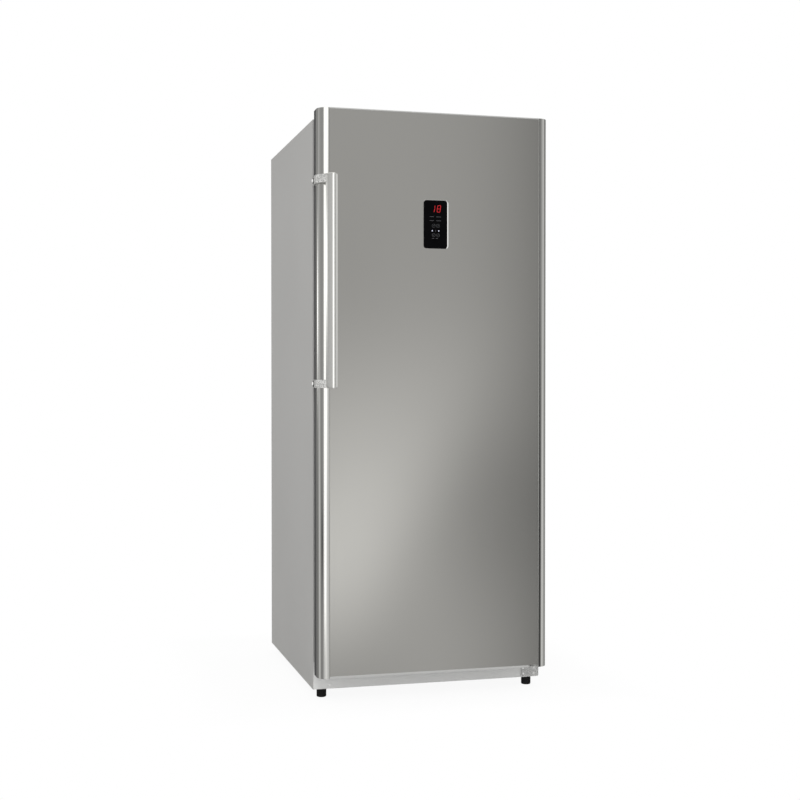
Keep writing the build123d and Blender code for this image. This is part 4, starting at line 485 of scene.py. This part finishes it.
# A plan outline with some corners rounded: points are (x, y) or (x, y, radius)
def roundOutline(points, steps):
    outline = []
    count = len(points)
    for i, point in enumerate(points):
        here = Vector(point[:2])
        radius = point[2] if len(point) > 2 else 0
        if not radius:
            outline.append(here)
            continue
        toBack = (Vector(points[i - 1][:2]) - here).normalized()
        toNext = (Vector(points[(i + 1) % count][:2]) - here).normalized()
        half = toBack.angle(toNext) / 2
        centre = here + (toBack + toNext).normalized() * (radius / math.sin(half))
        start = here + toBack * (radius / math.tan(half)) - centre
        sweep = start.angle_signed(here + toNext * (radius / math.tan(half)) - centre)
        for step in range(steps + 1):
            turn = -sweep * step / steps
            outline.append(centre + Vector((
                start.x * math.cos(turn) - start.y * math.sin(turn),
                start.x * math.sin(turn) + start.y * math.cos(turn),
            )))
    return outline


# Rings of equal length joined in turn, closed by end faces or, as a loop, back to the first
def loftRings(name, rings, loop=False, sharpAngle=32):
    verts = [point for ring in rings for point in ring]
    count = len(rings[0])
    faces = []
    for r in range(len(rings) if loop else len(rings) - 1):
        start, stop = r * count, (r + 1) % len(rings) * count
        for i in range(count):
            j = (i + 1) % count
            faces.append((start + i, start + j, stop + j, stop + i))
    if not loop:
        faces.append(tuple(reversed(range(count))))
        faces.append(tuple((len(rings) - 1) * count + i for i in range(count)))
    return addPiece(name, verts, faces, sharpAngle)


def offsetInward(outline, inset):
    moved = []
    count = len(outline)
    for i, point in enumerate(outline):
        along = outline[(i + 1) % count] - outline[i - 1]
        inward = Vector((-along.y, along.x)).normalized()
        moved.append(point + inward * inset)
    return moved


# Heights and insets of an extrusion whose ends are rounded
def roundedStations(bottom, top, rounding, steps):
    curve = []
    for turn in quarterTurn(steps):
        curve.append((rounding * (1 - math.sin(turn)), rounding * (1 - math.cos(turn))))
    lower = [(bottom + rise, inset) for rise, inset in reversed(curve)]
    upper = [(top - rise, inset) for rise, inset in curve]
    return lower + upper


# Extrusion along Z; outline runs counterclockwise
def extrudeRounded(name, outline, bottom, top, rounding, steps, sharpAngle):
    rings = []
    for z, inset in roundedStations(bottom, top, rounding, steps):
        ring = offsetInward(outline, inset) if inset else outline
        rings.append([(p.x, p.y, z) for p in ring])
    return loftRings(name, rings, sharpAngle=sharpAngle)


# Turned piece: profile of (radius, height) round an axis through centre
def turnProfile(name, profile, centre, axis=(0, 0, 1), segments=48, flute=None, sharpAngle=32):
    axis = Vector(axis).normalized()
    side = Vector((1, 0, 0)) if abs(axis.x) < 0.9 else Vector((0, 1, 0))
    u = (side - axis * side.dot(axis)).normalized()
    v = axis.cross(u)
    rings = []
    for radius, height in profile:
        ring = []
        for turn in fullTurn(segments):
            r = radius * (flute(turn, height) if flute else 1)
            ring.append(Vector(centre) + axis * height + u * (r * math.cos(turn)) + v * (r * math.sin(turn)))
        rings.append(ring)
    return loftRings(name, rings, sharpAngle=sharpAngle)


def joinPieces(name, parts, sharpAngle=32):
    verts, faces = [], []
    for part in parts:
        start = len(verts)
        verts += [part.matrix_world @ v.co for v in part.data.vertices]
        faces += [tuple(start + i for i in face.vertices) for face in part.data.polygons]
        bpy.data.objects.remove(part)
    return addPiece(name, verts, faces, sharpAngle)


# Box of each loose shell of a node, so that small repeated parts are found where the frame has them
def shellBoxes(nodeName):
    mesh = nodes[nodeName].data
    spots = [tuple(round(c, 5) for c in v.co) for v in mesh.vertices]
    parent = {}

    def root(spot):
        while parent.setdefault(spot, spot) != spot:
            parent[spot] = parent[parent[spot]]
            spot = parent[spot]
        return spot

    for face in mesh.polygons:
        first = root(spots[face.vertices[0]])
        for index in face.vertices:
            parent[root(spots[index])] = first
    shells = {}
    for spot in sorted(set(spots)):
        shells.setdefault(root(spot), []).append(spot)
    boxes = []
    for points in shells.values():
        low = Vector([min(p[i] for p in points) for i in range(3)])
        high = Vector([max(p[i] for p in points) for i in range(3)])
        boxes.append((low, high))
    return sorted(boxes, key=lambda box: tuple(box[0]))


# Door columns: rolled aluminium with a round corner, one each side of the skin
columnLook = {
    "radius": 0.031, "wall": 0.0016, "inset": 0.0008, "leg": 0.009, "arcSteps": 40, "edge": 0.0004,
}


def buildColumn(name, side, nodeName):
    look = columnLook
    low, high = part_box(nodeName)
    outerX = max(abs(low[0]), abs(high[0]))
    front, sideBack = low[1], high[1]
    axisX, axisY = outerX - look["radius"], front + look["radius"]
    edgeX = axisX - look["inset"]
    reach = look["radius"] - look["wall"]
    turns = quarterTurn(look["arcSteps"])
    outer = [(axisX + look["radius"] * math.sin(t), axisY - look["radius"] * math.cos(t)) for t in turns]
    inner = [(axisX + reach * math.sin(t), axisY - reach * math.cos(t)) for t in reversed(turns)]
    foldX = edgeX + look["wall"]
    outline = [(edgeX, front, look["edge"]), *outer, (outerX, sideBack, look["edge"]),
               (outerX - look["wall"], sideBack, look["edge"]), *inner[:-2],
               (foldX, inner[-2][1]), (foldX, front + look["leg"]), (edgeX, front + look["leg"])]
    plan = roundOutline(outline, 4)
    if side < 0:
        plan = [Vector((-p.x, p.y)) for p in reversed(plan)]
    piece = extrudeRounded(name, plan, low[2], high[2], look["edge"], 3, 50)
    dress(piece, "column_alu", "door", nodeName)


buildColumn("columnLeft", -1, "door_column_left")
buildColumn("columnRight", 1, "door_column_right")
print("columns built")


# Handle: a bar with a sloping flank and a round nose, on two cast straps with domed screw caps
handleLook = {
    # The section in plan, from the back of its left flank: how many degrees each face turns from the
    # front, with its length, or its radius and the angle at which its curve ends
    "faces": [
        dict(turn=-68, length=0.0118),
        dict(turn=-33, length=0.0133),
        dict(turn=-33, radius=0.0131, until=-2),
        dict(turn=-2, radius=0.0051, until=34.5),
        dict(turn=34.5, length=0.0084),
    ],
    "halfWidth": 0.0165, "backBevel": (0.0006, 0.0004), "edge": 0.0008, "corner": 0.002, "arcSteps": 12,
    "endRound": 0.005, "endSteps": 8, "endSlim": 0.3,
}
strapLook = {
    "thickness": 0.0045, "turn": 0.008, "bend": 0.0045, "innerBend": 0.003, "innerDrop": 0.0015,
    "edge": 0.0019, "edgeSteps": 5, "foot": 0.024, "trim": 0.0008,
    "baseRound": 0.0012, "armRound": 0.004, "footRound": 0.002, "flankRound": 0.0004,
    "tipSink": 0.0012, "middle": (0.0035, 0.0020), "flank": (-0.0003, 0.0016),  # places in the bar
}
capLook = {"radius": 0.0094, "rim": 0.0008, "boss": 0.0052, "glintDomeRise": 0.0028, "glintDomeFrom": 0.5}
barLow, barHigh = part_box("handle_bar")
barX = barHigh[0] - handleLook["halfWidth"]
barOuter, barInner = barX - handleLook["halfWidth"], barHigh[0]
strapLow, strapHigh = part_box("handle_straps")
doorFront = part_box("door_column_left")[0][1]


def barPlan():
    look = handleLook
    bevelIn, bevelDeep = look["backBevel"]
    place = Vector((barOuter, barHigh[1] - bevelDeep))
    outline = [(barOuter + bevelIn, barHigh[1], look["edge"] / 2), (place.x, place.y, look["edge"] / 2)]
    for face in look["faces"]:
        turn = math.radians(face["turn"])
        if "length" in face:
            place = place + Vector((math.cos(turn), math.sin(turn))) * face["length"]
            outline.append((place.x, place.y, look["edge"]))
            continue
        # A curve starts where the face before it ends, so that point has no corner of its own
        outline[-1] = outline[-1][:2]
        centre = place - Vector((math.sin(turn), -math.cos(turn))) * face["radius"]
        until = math.radians(face["until"])
        for step in range(1, look["arcSteps"] + 1):
            at = turn + (until - turn) * step / look["arcSteps"]
            place = centre + Vector((math.sin(at), -math.cos(at))) * face["radius"]
            outline.append((place.x, place.y))
    outline.append((barInner, barHigh[1], look["corner"]))
    # Held to the CAD bar's front and inner side
    front = min(p[1] for p in outline)
    scale = (barHigh[1] - barLow[1]) / (barHigh[1] - front)
    held = []
    for point in outline:
        y = barHigh[1] + (point[1] - barHigh[1]) * scale
        held.append((min(point[0], barInner), y, *point[2:]))
    return roundOutline(held, 6)


def buildBar():
    look = handleLook
    plan = barPlan()
    half = (barInner - barOuter) / 2
    middle = (barLow[1] + barHigh[1]) / 2
    rings = []
    for z, inset in roundedStations(barLow[2], barHigh[2], look["endRound"], look["endSteps"]):
        narrow = 1 - inset / half
        slim = 1 - inset * look["endSlim"] / half
        rings.append([(barX + (p.x - barX) * narrow, middle + (p.y - middle) * slim, z) for p in plan])
    dress(loftRings("handleGrip", rings, sharpAngle=60), "handle_alu", "door", "handle_bar")


def strapPlan():
    look = strapLook
    thickness = look["thickness"]
    outerX = strapLow[0]
    inner = outerX + thickness
    back = barHigh[1]
    outline = [
        (outerX, strapHigh[1], look["baseRound"]),
        (inner, strapHigh[1], look["baseRound"]),
        (inner, doorFront + look["turn"] + look["innerDrop"], look["innerBend"]),
        (barOuter - thickness * 0.4, back + thickness * 1.4, look["armRound"]),
        (barOuter + 2 * thickness, back + thickness, look["footRound"]),
        (barOuter + look["foot"], back + thickness, look["footRound"]),
        (barOuter + look["foot"], back - look["tipSink"]),
        (barOuter + look["middle"][0], back - look["middle"][1]),
        (barOuter + look["flank"][0], back - look["flank"][1], look["flankRound"]),
        (outerX, doorFront + look["turn"], look["bend"]),
    ]
    return roundOutline(outline, 6)


def buildStraps():
    look = strapLook
    plan = strapPlan()
    parts = []
    for i, (low, high) in enumerate(shellBoxes("handle_straps")):
        bottom, top = low[2] + look["trim"], high[2] - look["trim"]
        parts.append(extrudeRounded(f"strap{i}", plan, bottom, top, look["edge"], look["edgeSteps"], 45))
    dress(joinPieces("handleStraps", parts, 45), "strap_alu", "door", "handle_straps")


def domeProfile(radius, base, rise, steps=12):
    turns = quarterTurn(steps)[1:]
    return [(max(radius * math.cos(t), 0.00005), base + rise * math.sin(t)) for t in turns]


def buildCaps():
    look = capLook
    caps, glintDomes = [], []
    for i, (low, high) in enumerate(shellBoxes("handle_screws")):
        middle = (low + high) / 2
        proud = strapLow[0] - low[0]
        seat = (strapLow[0], middle.y, middle.z)
        shoulder = proud - look["glintDomeRise"] - look["rim"]
        rim = [(look["radius"], 0), (look["radius"], look["rim"])]
        dome = rim + domeProfile(look["radius"], look["rim"], shoulder)
        caps.append(turnProfile(f"cap{i}", dome, seat, (-1, 0, 0)))
        # Each cap gets a small bright dome in the near-white screw steel: a painted highlight that stands in
        # for the white glint at the cap's apex
        crown = domeProfile(look["boss"], proud - look["glintDomeRise"], look["glintDomeRise"])
        boss = [(look["boss"], shoulder * look["glintDomeFrom"]), *crown]
        glintDomes.append(turnProfile(f"boss{i}", boss, seat, (-1, 0, 0)))
    dress(joinPieces("paintedGlintDomes", glintDomes), "screw_steel", "door", "handle_screws")
    dress(joinPieces("screwCaps", caps), "cap_black", "door", "handle_screws")


buildBar()
buildStraps()
buildCaps()
print("handle built")


# Levelling feet: fluted knobs on threaded stems
footLook = {
    "round": 0.0035, "top": 0.0255, "rim": 0.001,
    "flutes": 18, "fluteDepth": 0.06, "fluted": (0.002, 0.0035), "plain": (0.001, 0.003),
    "stem": 0.0048, "hole": 0.0005, "pitch": 0.0015, "crest": 0.0002, "root": (0.0005, 0.0009), "tip": 0.9,
    "axis": 0.0002, "roundSteps": 6,
}


def buildFoot(name, body):
    look = footLook
    low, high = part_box(body)
    radius = (high[0] - low[0]) / 2
    profile = [(look["axis"], 0)]
    for turn in quarterTurn(look["roundSteps"]):
        profile.append((radius - look["round"] * (1 - math.sin(turn)), look["round"] * (1 - math.cos(turn))))
    top, rim = look["top"], look["rim"]
    flutesFrom, flutesTo = look["fluted"]
    profile += [(radius, look["round"] + flutesFrom), (radius, top - flutesTo), (radius, top - rim),
                (radius - rim, top), (look["stem"] + look["hole"], top)]
    rootDepth, rootRise = look["root"]
    thread = top
    while thread < high[2] - look["pitch"]:
        profile += [(look["stem"], thread + look["crest"]), (look["stem"] - rootDepth, thread + rootRise)]
        thread += look["pitch"]
    profile += [(look["stem"] * look["tip"], high[2]), (look["axis"], high[2])]
    plainBelow, plainAbove = look["plain"]

    def flute(turn, height):
        if not look["round"] + plainBelow < height < top - plainAbove:
            return 1
        return 1 - look["fluteDepth"] * (0.5 - 0.5 * math.cos(look["flutes"] * turn)) ** 2

    centre = ((low[0] + high[0]) / 2, (low[1] + high[1]) / 2, 0)
    piece = turnProfile(name, profile, centre, (0, 0, 1), 144, flute, 50)
    dress(piece, "foot_black", body, body)


buildFoot("footKnobLeft", "foot_left")
buildFoot("footKnobRight", "foot_right")
print("feet built")


# Case screws: pan heads with a cross recess, on the front bracket, the top hinge and the rear cover
screwLook = {
    "recess": 0.6, "armWidth": 0.17, "armLength": 0.55, "soften": 0.10, "rings": 15, "segments": 48,
    "height": 0.002, "rimShare": 0.35, "firstTurn": 0.4, "nextTurn": 0.9,
    "topAbove": 1.6, "topBefore": 0.1,  # heads in this corner of the machine point up
}


def crossScrew(name, seat, axis, radius, height, turned):
    look = screwLook
    axis = Vector(axis)
    side = Vector((1, 0, 0))
    other = axis.cross(side)
    turns = fullTurn(look["segments"])
    rings = [[seat + (side * math.cos(t) + other * math.sin(t)) * radius for t in turns]]
    for k in range(look["rings"] + 1):
        share = max(1 - k / look["rings"], 0.01)
        bulge = math.sqrt(max(0, 1 - share**2))
        dome = height * (look["rimShare"] + (1 - look["rimShare"]) * bulge)
        ring = []
        for t in turns:
            x, y = abs(share * math.cos(t - turned)), abs(share * math.sin(t - turned))
            inArm = min(look["armLength"] - max(x, y), look["armWidth"] - min(x, y)) / look["soften"]
            sunk = height * look["recess"] * min(1, max(0, inArm))
            out = (side * math.cos(t) + other * math.sin(t)) * radius * share
            ring.append(seat + out + axis * (dome - sunk))
        rings.append(ring)
    return loftRings(name, rings, sharpAngle=40)


def buildScrews():
    look = screwLook
    height = look["height"]
    parts = []
    for i, (low, high) in enumerate(shellBoxes("case_screws")):
        middle = (low + high) / 2
        if middle.z > look["topAbove"] and middle.y < look["topBefore"]:
            axis, seat = (0, 0, 1), Vector((middle.x, middle.y, high.z))
        elif middle.y < 0:
            axis, seat = (0, -1, 0), Vector((middle.x, low.y, middle.z))
        else:
            axis, seat = (0, 1, 0), Vector((middle.x, high.y, middle.z))
        seat -= Vector(axis) * height
        turned = look["firstTurn"] + look["nextTurn"] * i
        parts.append(crossScrew(f"screw{i}", seat, axis, (high.x - low.x) / 2, height, turned))
    dress(joinPieces("crossScrews", parts, 40), "screw_steel", "cabinet", "case_screws")


buildScrews()
print("screws built")


# Display: chrome frame, black pane, red digits and faint marks
displayLook = {
    # In the order left, right, below, above: growth past the CAD frame, the frame's width and its inner bevel
    "growth": (0.0014, 0, 0.0020, 0.0028), "opening": (0.0009, 0.0046, 0.0008, 0.0015),
    "bevel": (0.0005, 0.0030, 0.0004, 0.0006), "corner": 0.009, "edge": 0.0004,
    # The frame, the pane and its film stand in front of the skin
    "frameProud": 0.0020, "frameBuried": 0.0006, "paneProud": 0.0006, "film": 0.0002,
    "lipDepth": 0.0018, "lipWidth": 0.0012, "paneGap": 0.00008, "paneDepth": 0.0016,
    "paneEdge": (0.0003, 0.0004),
    "digitShift": (-0.0066, 0.0062), "digitHeight": 0.0190, "digitWidth": 0.0100, "stroke": 0.0011,
    "pitch": 0.0146, "places": (-0.35, 0.5), "lean": 8, "gapShare": 0.55, "squeeze": 0.18,
}
paneFront = doorFront - displayLook["paneProud"]

# Rounded rectangle on the door's front, counterclockwise seen from the front
def frontOutline(left, right, bottom, top, radius, y):
    points = [(left, bottom, radius), (right, bottom, radius), (right, top, radius), (left, top, radius)]
    return [Vector((p.x, y, p.y)) for p in roundOutline(points, 8)]


def buildDisplay():
    look = displayLook
    low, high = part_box("display_frame")
    front = doorFront - look["frameProud"]
    back = doorFront + look["frameBuried"]
    left, right = low[0] - look["growth"][0], high[0] + look["growth"][1]
    bottom, top = low[2] - look["growth"][2], high[2] + look["growth"][3]

    def ring(inset, y, insets=None):
        sides = insets or (inset,) * 4
        radius = look["corner"] - min(sides)
        return frontOutline(left + sides[0], right - sides[1], bottom + sides[2], top - sides[3], radius, y)

    opening = look["opening"]
    land = tuple(side - bevel for side, bevel in zip(opening, look["bevel"]))
    lipBack = paneFront + look["lipDepth"]
    rings = [
        ring(0, back), ring(0, front + look["edge"]), ring(look["edge"] * 0.5, front + look["edge"] * 0.5),
        ring(look["edge"], front), ring(0, front, land), ring(0, paneFront, opening),
        ring(0, lipBack, opening), ring(look["lipWidth"], lipBack),
    ]
    bezel = loftRings("displayBezel", rings, loop=True, sharpAngle=50)
    dress(bezel, "bezel_silver", "door", "display_frame")
    edgeIn, edgeDeep = look["paneEdge"]
    pane = tuple(side + look["paneGap"] for side in opening)
    face = tuple(side + edgeIn for side in pane)
    paneRings = [ring(0, paneFront + look["paneDepth"], pane), ring(0, paneFront + edgeDeep, pane),
                 ring(0, paneFront, face)]
    dress(loftRings("displayPane", paneRings, sharpAngle=25), "display_black", "door", "display_glass")


# A flat bar with round ends between two points of the pane
def filmBar(name, start, stop, width, y, film):
    start, stop = Vector(start), Vector(stop)
    along = (stop - start).normalized()
    side = Vector((-along.y, along.x))
    outline = []
    for centre, way in ((stop, along), (start, -along)):
        cross = side if centre is stop else -side
        for step in range(9):
            turn = math.pi / 2 - math.pi * step / 8
            outline.append(centre + (way * math.cos(turn) + cross * math.sin(turn)) * width / 2)
    rings = [[(p.x, y, p.y) for p in outline], [(p.x, y - film, p.y) for p in outline]]
    return loftRings(name, rings)


def buildDigits():
    look = displayLook
    low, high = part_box("display_digits")
    y = paneFront
    middle = Vector(((low[0] + high[0]) / 2, (low[2] + high[2]) / 2)) + Vector(look["digitShift"])
    halfW, halfH = look["digitWidth"] / 2, look["digitHeight"] / 2
    lean = math.tan(math.radians(look["lean"]))
    cut = look["stroke"] * look["gapShare"]
    corners = {
        "topLeft": (-halfW, halfH), "topRight": (halfW, halfH), "left": (-halfW, 0), "right": (halfW, 0),
        "lowLeft": (-halfW, -halfH), "lowRight": (halfW, -halfH),
    }
    bars = [("topLeft", "topRight"), ("topRight", "right"), ("right", "lowRight"), ("lowLeft", "lowRight"),
            ("lowLeft", "left"), ("left", "topLeft"), ("left", "right")]
    one, eight = (1, 2), range(7)
    parts = []
    for share, lit in zip(look["places"], (one, eight)):
        for i in lit:
            start, stop = Vector(corners[bars[i][0]]), Vector(corners[bars[i][1]])
            along = (stop - start).normalized() * cut
            ends = []
            for end in (start + along, stop - along):
                # Rounder outer corners: the digit's ends pull in a little
                squeeze = 1 - look["squeeze"] * (abs(end.y) / halfH) ** 2
                origin = share * look["pitch"] - (halfW if lit == one else 0)
                ends.append(middle + Vector((origin + end.x * squeeze + end.y * lean, end.y)))
            parts.append(filmBar(f"bar{len(parts)}", *ends, look["stroke"], y, look["film"]))
    dress(joinPieces("displayDigits", parts), "digit_red", "door", "display_digits")


markLook = {
    "film": 0.0002, "labelRows": (0.0224, 0.0110), "labels": ((-0.0199, -0.0074), (0.0, 0.0141)),
    "strokes": 6, "strokeHalf": 0.36, "strokeWidth": 0.00096, "strokeRise": 0.0004,
    "ringRows": (-0.0035, -0.0310), "rings": (-0.0080, 0.0049), "ringRadius": 0.0050, "ringLine": 0.0005,
    "ringSegments": 40, "signReach": 0.38, "signSlope": 0.6, "signWidth": 0.0007,
    "dotRow": -0.0186, "dots": (-0.0123, 0.0074), "dotRadius": 0.0016,
    "arrow": (-0.0030, 0.0007), "arrowReach": (0.0018, 0.0022),
    "captionRow": -0.0404, "captions": (-0.0095, 0.0021), "captionHalf": 0.0030,
    "captionBars": 4, "captionBar": (0.0009, 0.0011),
}


def buildMarks():
    look = markLook
    low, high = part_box("display_frame")
    middle = (low[2] + high[2]) / 2
    y = paneFront
    grey, bright = [], []

    def addBar(kind, start, stop, width):
        grey.append(filmBar(f"{kind}{len(grey)}", start, stop, width, y, look["film"]))

    # Each label is a run of short strokes, as small print looks
    for row in look["labelRows"]:
        for left, right in look["labels"]:
            step = (right - left) / look["strokes"]
            reach = step * look["strokeHalf"]
            for i in range(look["strokes"]):
                x = left + (i + 0.5) * step
                rise = look["strokeRise"] * math.sin(9.0 * i + 200 * row + 90 * left)
                start, stop = (x - reach, middle + row + rise), (x + reach, middle + row - rise)
                addBar("label", start, stop, look["strokeWidth"])
    turns = fullTurn(look["ringSegments"])
    outer, inner = look["ringRadius"], look["ringRadius"] - look["ringLine"]
    for row in look["ringRows"]:
        for x in look["rings"]:
            ring = []
            for radius, rise in ((outer, 0), (outer, look["film"]), (inner, look["film"]), (inner, 0)):
                ring.append([(x + radius * math.cos(t), y - rise, middle + row + radius * math.sin(t))
                             for t in turns])
            grey.append(loftRings(f"ring{len(grey)}", ring, loop=True))
            reach = look["ringRadius"] * look["signReach"]
            rise = reach * look["signSlope"]
            start, stop = (x - reach, middle + row - rise), (x + reach, middle + row + rise)
            addBar("sign", start, stop, look["signWidth"])
    captionLong, captionWide = look["captionBar"]
    for x in look["captions"]:
        for i in range(look["captionBars"]):
            left = x - look["captionHalf"] + i * look["captionHalf"] / 2
            z = middle + look["captionRow"]
            addBar("caption", (left, z), (left + captionLong, z), captionWide)
    arrowX, arrowWidth = look["arrow"]
    arrowLong, arrowRise = look["arrowReach"]
    z = middle + look["dotRow"]
    for rise in (arrowRise, -arrowRise):
        addBar("arrow", (arrowX + arrowLong, z + rise), (arrowX, z), arrowWidth)
    for x in look["dots"]:
        profile = [(look["dotRadius"], 0), (look["dotRadius"], look["film"]), (0.00005, look["film"])]
        bright.append(turnProfile(f"dot{len(bright)}", profile, (x, y, z), (0, -1, 0), 24))
    dress(joinPieces("displayLabels", grey), "mark_white", "door", "display_marks", finish=markGrey)
    dress(joinPieces("displayDots", bright), "mark_white", "door", "display_marks", finish=dotWhite)


buildDisplay()
buildDigits()
buildMarks()
print("display built")


# Gasket: magnet pocket on a bellows neck, mitred at the corners as a welded seal is
sealLook = {
    "width": 0.019, "neck": 0.0045, "steps": 40,
    # Shares of the depth: where the foot ends and where the magnet pocket begins, with two folds between
    "footEnd": 0.16, "headStart": 0.70, "folds": 2, "foldDepth": 0.0022,
    "footRound": 0.0012, "headRound": 0.0018, "headTaper": 0.0007, "taperFrom": 0.85,
}


def buildSeal():
    look = sealLook
    low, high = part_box("door_gasket")
    half = look["width"] / 2
    depth = high[1] - low[1]
    footEnd, headStart = look["footEnd"], look["headStart"]
    outline = []
    for step in range(look["steps"] + 1):
        share = step / look["steps"]
        foot = max(0, 1 - share / footEnd)
        head = max(0, (share - headStart) / (1 - headStart))
        wave = 2 * math.pi * look["folds"] * (share - footEnd) / (headStart - footEnd)
        reach = look["neck"] + look["foldDepth"] * (0.5 - 0.5 * math.cos(wave))
        if foot > 0:
            reach = half - look["footRound"] * (1 - foot) ** 4
        if head > 0:
            taper = look["headTaper"] * max(0, head - look["taperFrom"]) / (1 - look["taperFrom"])
            reach = half - look["headRound"] * (1 - min(1, head * 4)) ** 2 - taper
        outline.append((reach, low[1] + depth * share))
    profile = outline + [(-reach, y) for reach, y in reversed(outline)]
    corners = [(high[0] - half, high[2] - half, 1, 1), (low[0] + half, high[2] - half, -1, 1),
               (low[0] + half, low[2] + half, -1, -1), (high[0] - half, low[2] + half, 1, -1)]
    rings = [[(x + sx * reach, y, z + sz * reach) for reach, y in profile] for x, z, sx, sz in corners]
    seal = loftRings("sealBellows", rings, loop=True, sharpAngle=50)
    dress(seal, "gasket_grey", "door", "door_gasket")


buildSeal()
print("seal built")


# Compressor grommets: waisted rubber bushes
grommetLook = {
    "radius": 0.011, "waist": 0.0082, "bore": 0.0032, "lip": 0.0012,
    "waistAt": 0.52, "waistSpread": 0.13, "stations": 12, "segments": 40,
}


def buildGrommets():
    look = grommetLook
    parts = []
    turns = fullTurn(look["segments"])
    for i, (low, high) in enumerate(shellBoxes("compressor_mounts")):
        middle = (low + high) / 2
        tall = high.z - low.z
        rings = [(look["bore"], 0), (look["radius"] - look["lip"], 0), (look["radius"], look["lip"])]
        for step in range(look["stations"] + 1):
            share = step / look["stations"]
            pinch = math.exp(-(((share - look["waistAt"]) / look["waistSpread"]) ** 2))
            radius = look["radius"] - (look["radius"] - look["waist"]) * pinch
            rings.append((radius, look["lip"] + (tall - 2 * look["lip"]) * share))
        rings += [(look["radius"] - look["lip"], tall), (look["bore"], tall)]
        loops = []
        for radius, rise in rings:
            loops.append([(middle.x + radius * math.cos(t), middle.y + radius * math.sin(t), low.z + rise)
                          for t in turns])
        parts.append(loftRings(f"grommet{i}", loops, loop=True, sharpAngle=60))
    dress(joinPieces("rubberGrommets", parts, 60), "grommet_rubber", "cabinet", "compressor_mounts")


buildGrommets()
print("grommets built")


# Floor: pale and plain, lifted to white except where the machine shades it
floorLook = {
    "low": (-0.78, -0.62), "high": (0.72, 0.80), "colour": (0.95, 0.95, 0.95), "lift": 0.93,
    "fade": (0.70, 0.98),  # share of the way to the edge over which the lift turns white
}


def buildFloor():
    (x0, y0), (x1, y1) = floorLook["low"], floorLook["high"]
    corners = [(x0, y0, 0), (x1, y0, 0), (x1, y1, 0), (x0, y1, 0)]
    piece = addPiece("studioFloor", corners, [(0, 1, 2, 3)])
    material = bpy.data.materials.new("studioFloor")
    material.use_nodes = True
    tree = material.node_tree
    tree.nodes.clear()
    place = addNode(tree, "ShaderNodeTexCoord").outputs["Object"]
    spot = addNode(tree, "ShaderNodeSeparateXYZ", {"Vector": place})
    aside = []
    for axis, (start, stop) in enumerate(((x0, x1), (y0, y1))):
        away = sums(tree, "SUBTRACT", spot.outputs[axis], (start + stop) / 2)
        aside.append(sums(tree, "DIVIDE", sums(tree, "ABSOLUTE", away), (stop - start) / 2))
    border = smoothStep(tree, sums(tree, "MAXIMUM", *aside), *floorLook["fade"])
    lift = blend(tree, border, floorLook["lift"], 1.0)
    path = addNode(tree, "ShaderNodeLightPath").outputs
    seen = sums(tree, "ADD", path["Is Camera Ray"], path["Is Transmission Ray"], clamp=True)
    matt = addNode(tree, "ShaderNodeBsdfDiffuse", {"Color": floorLook["colour"]})
    white = addNode(tree, "ShaderNodeEmission", {"Color": (1, 1, 1), "Strength": 1.0})
    mix = addNode(tree, "ShaderNodeMixShader")
    feed(tree, mix.inputs[0], sums(tree, "MULTIPLY", seen, lift))
    tree.links.new(matt.outputs[0], mix.inputs[1])
    tree.links.new(white.outputs[0], mix.inputs[2])
    # What metal mirrors is the room's own lower half
    clear = addNode(tree, "ShaderNodeBsdfTransparent")
    whole = addNode(tree, "ShaderNodeMixShader")
    feed(tree, whole.inputs[0], path["Is Glossy Ray"])
    tree.links.new(mix.outputs[0], whole.inputs[1])
    tree.links.new(clear.outputs[0], whole.inputs[2])
    out = addNode(tree, "ShaderNodeOutputMaterial")
    tree.links.new(whole.outputs[0], out.inputs[0])
    piece.data.materials.append(material)


buildFloor()
print("floor laid")
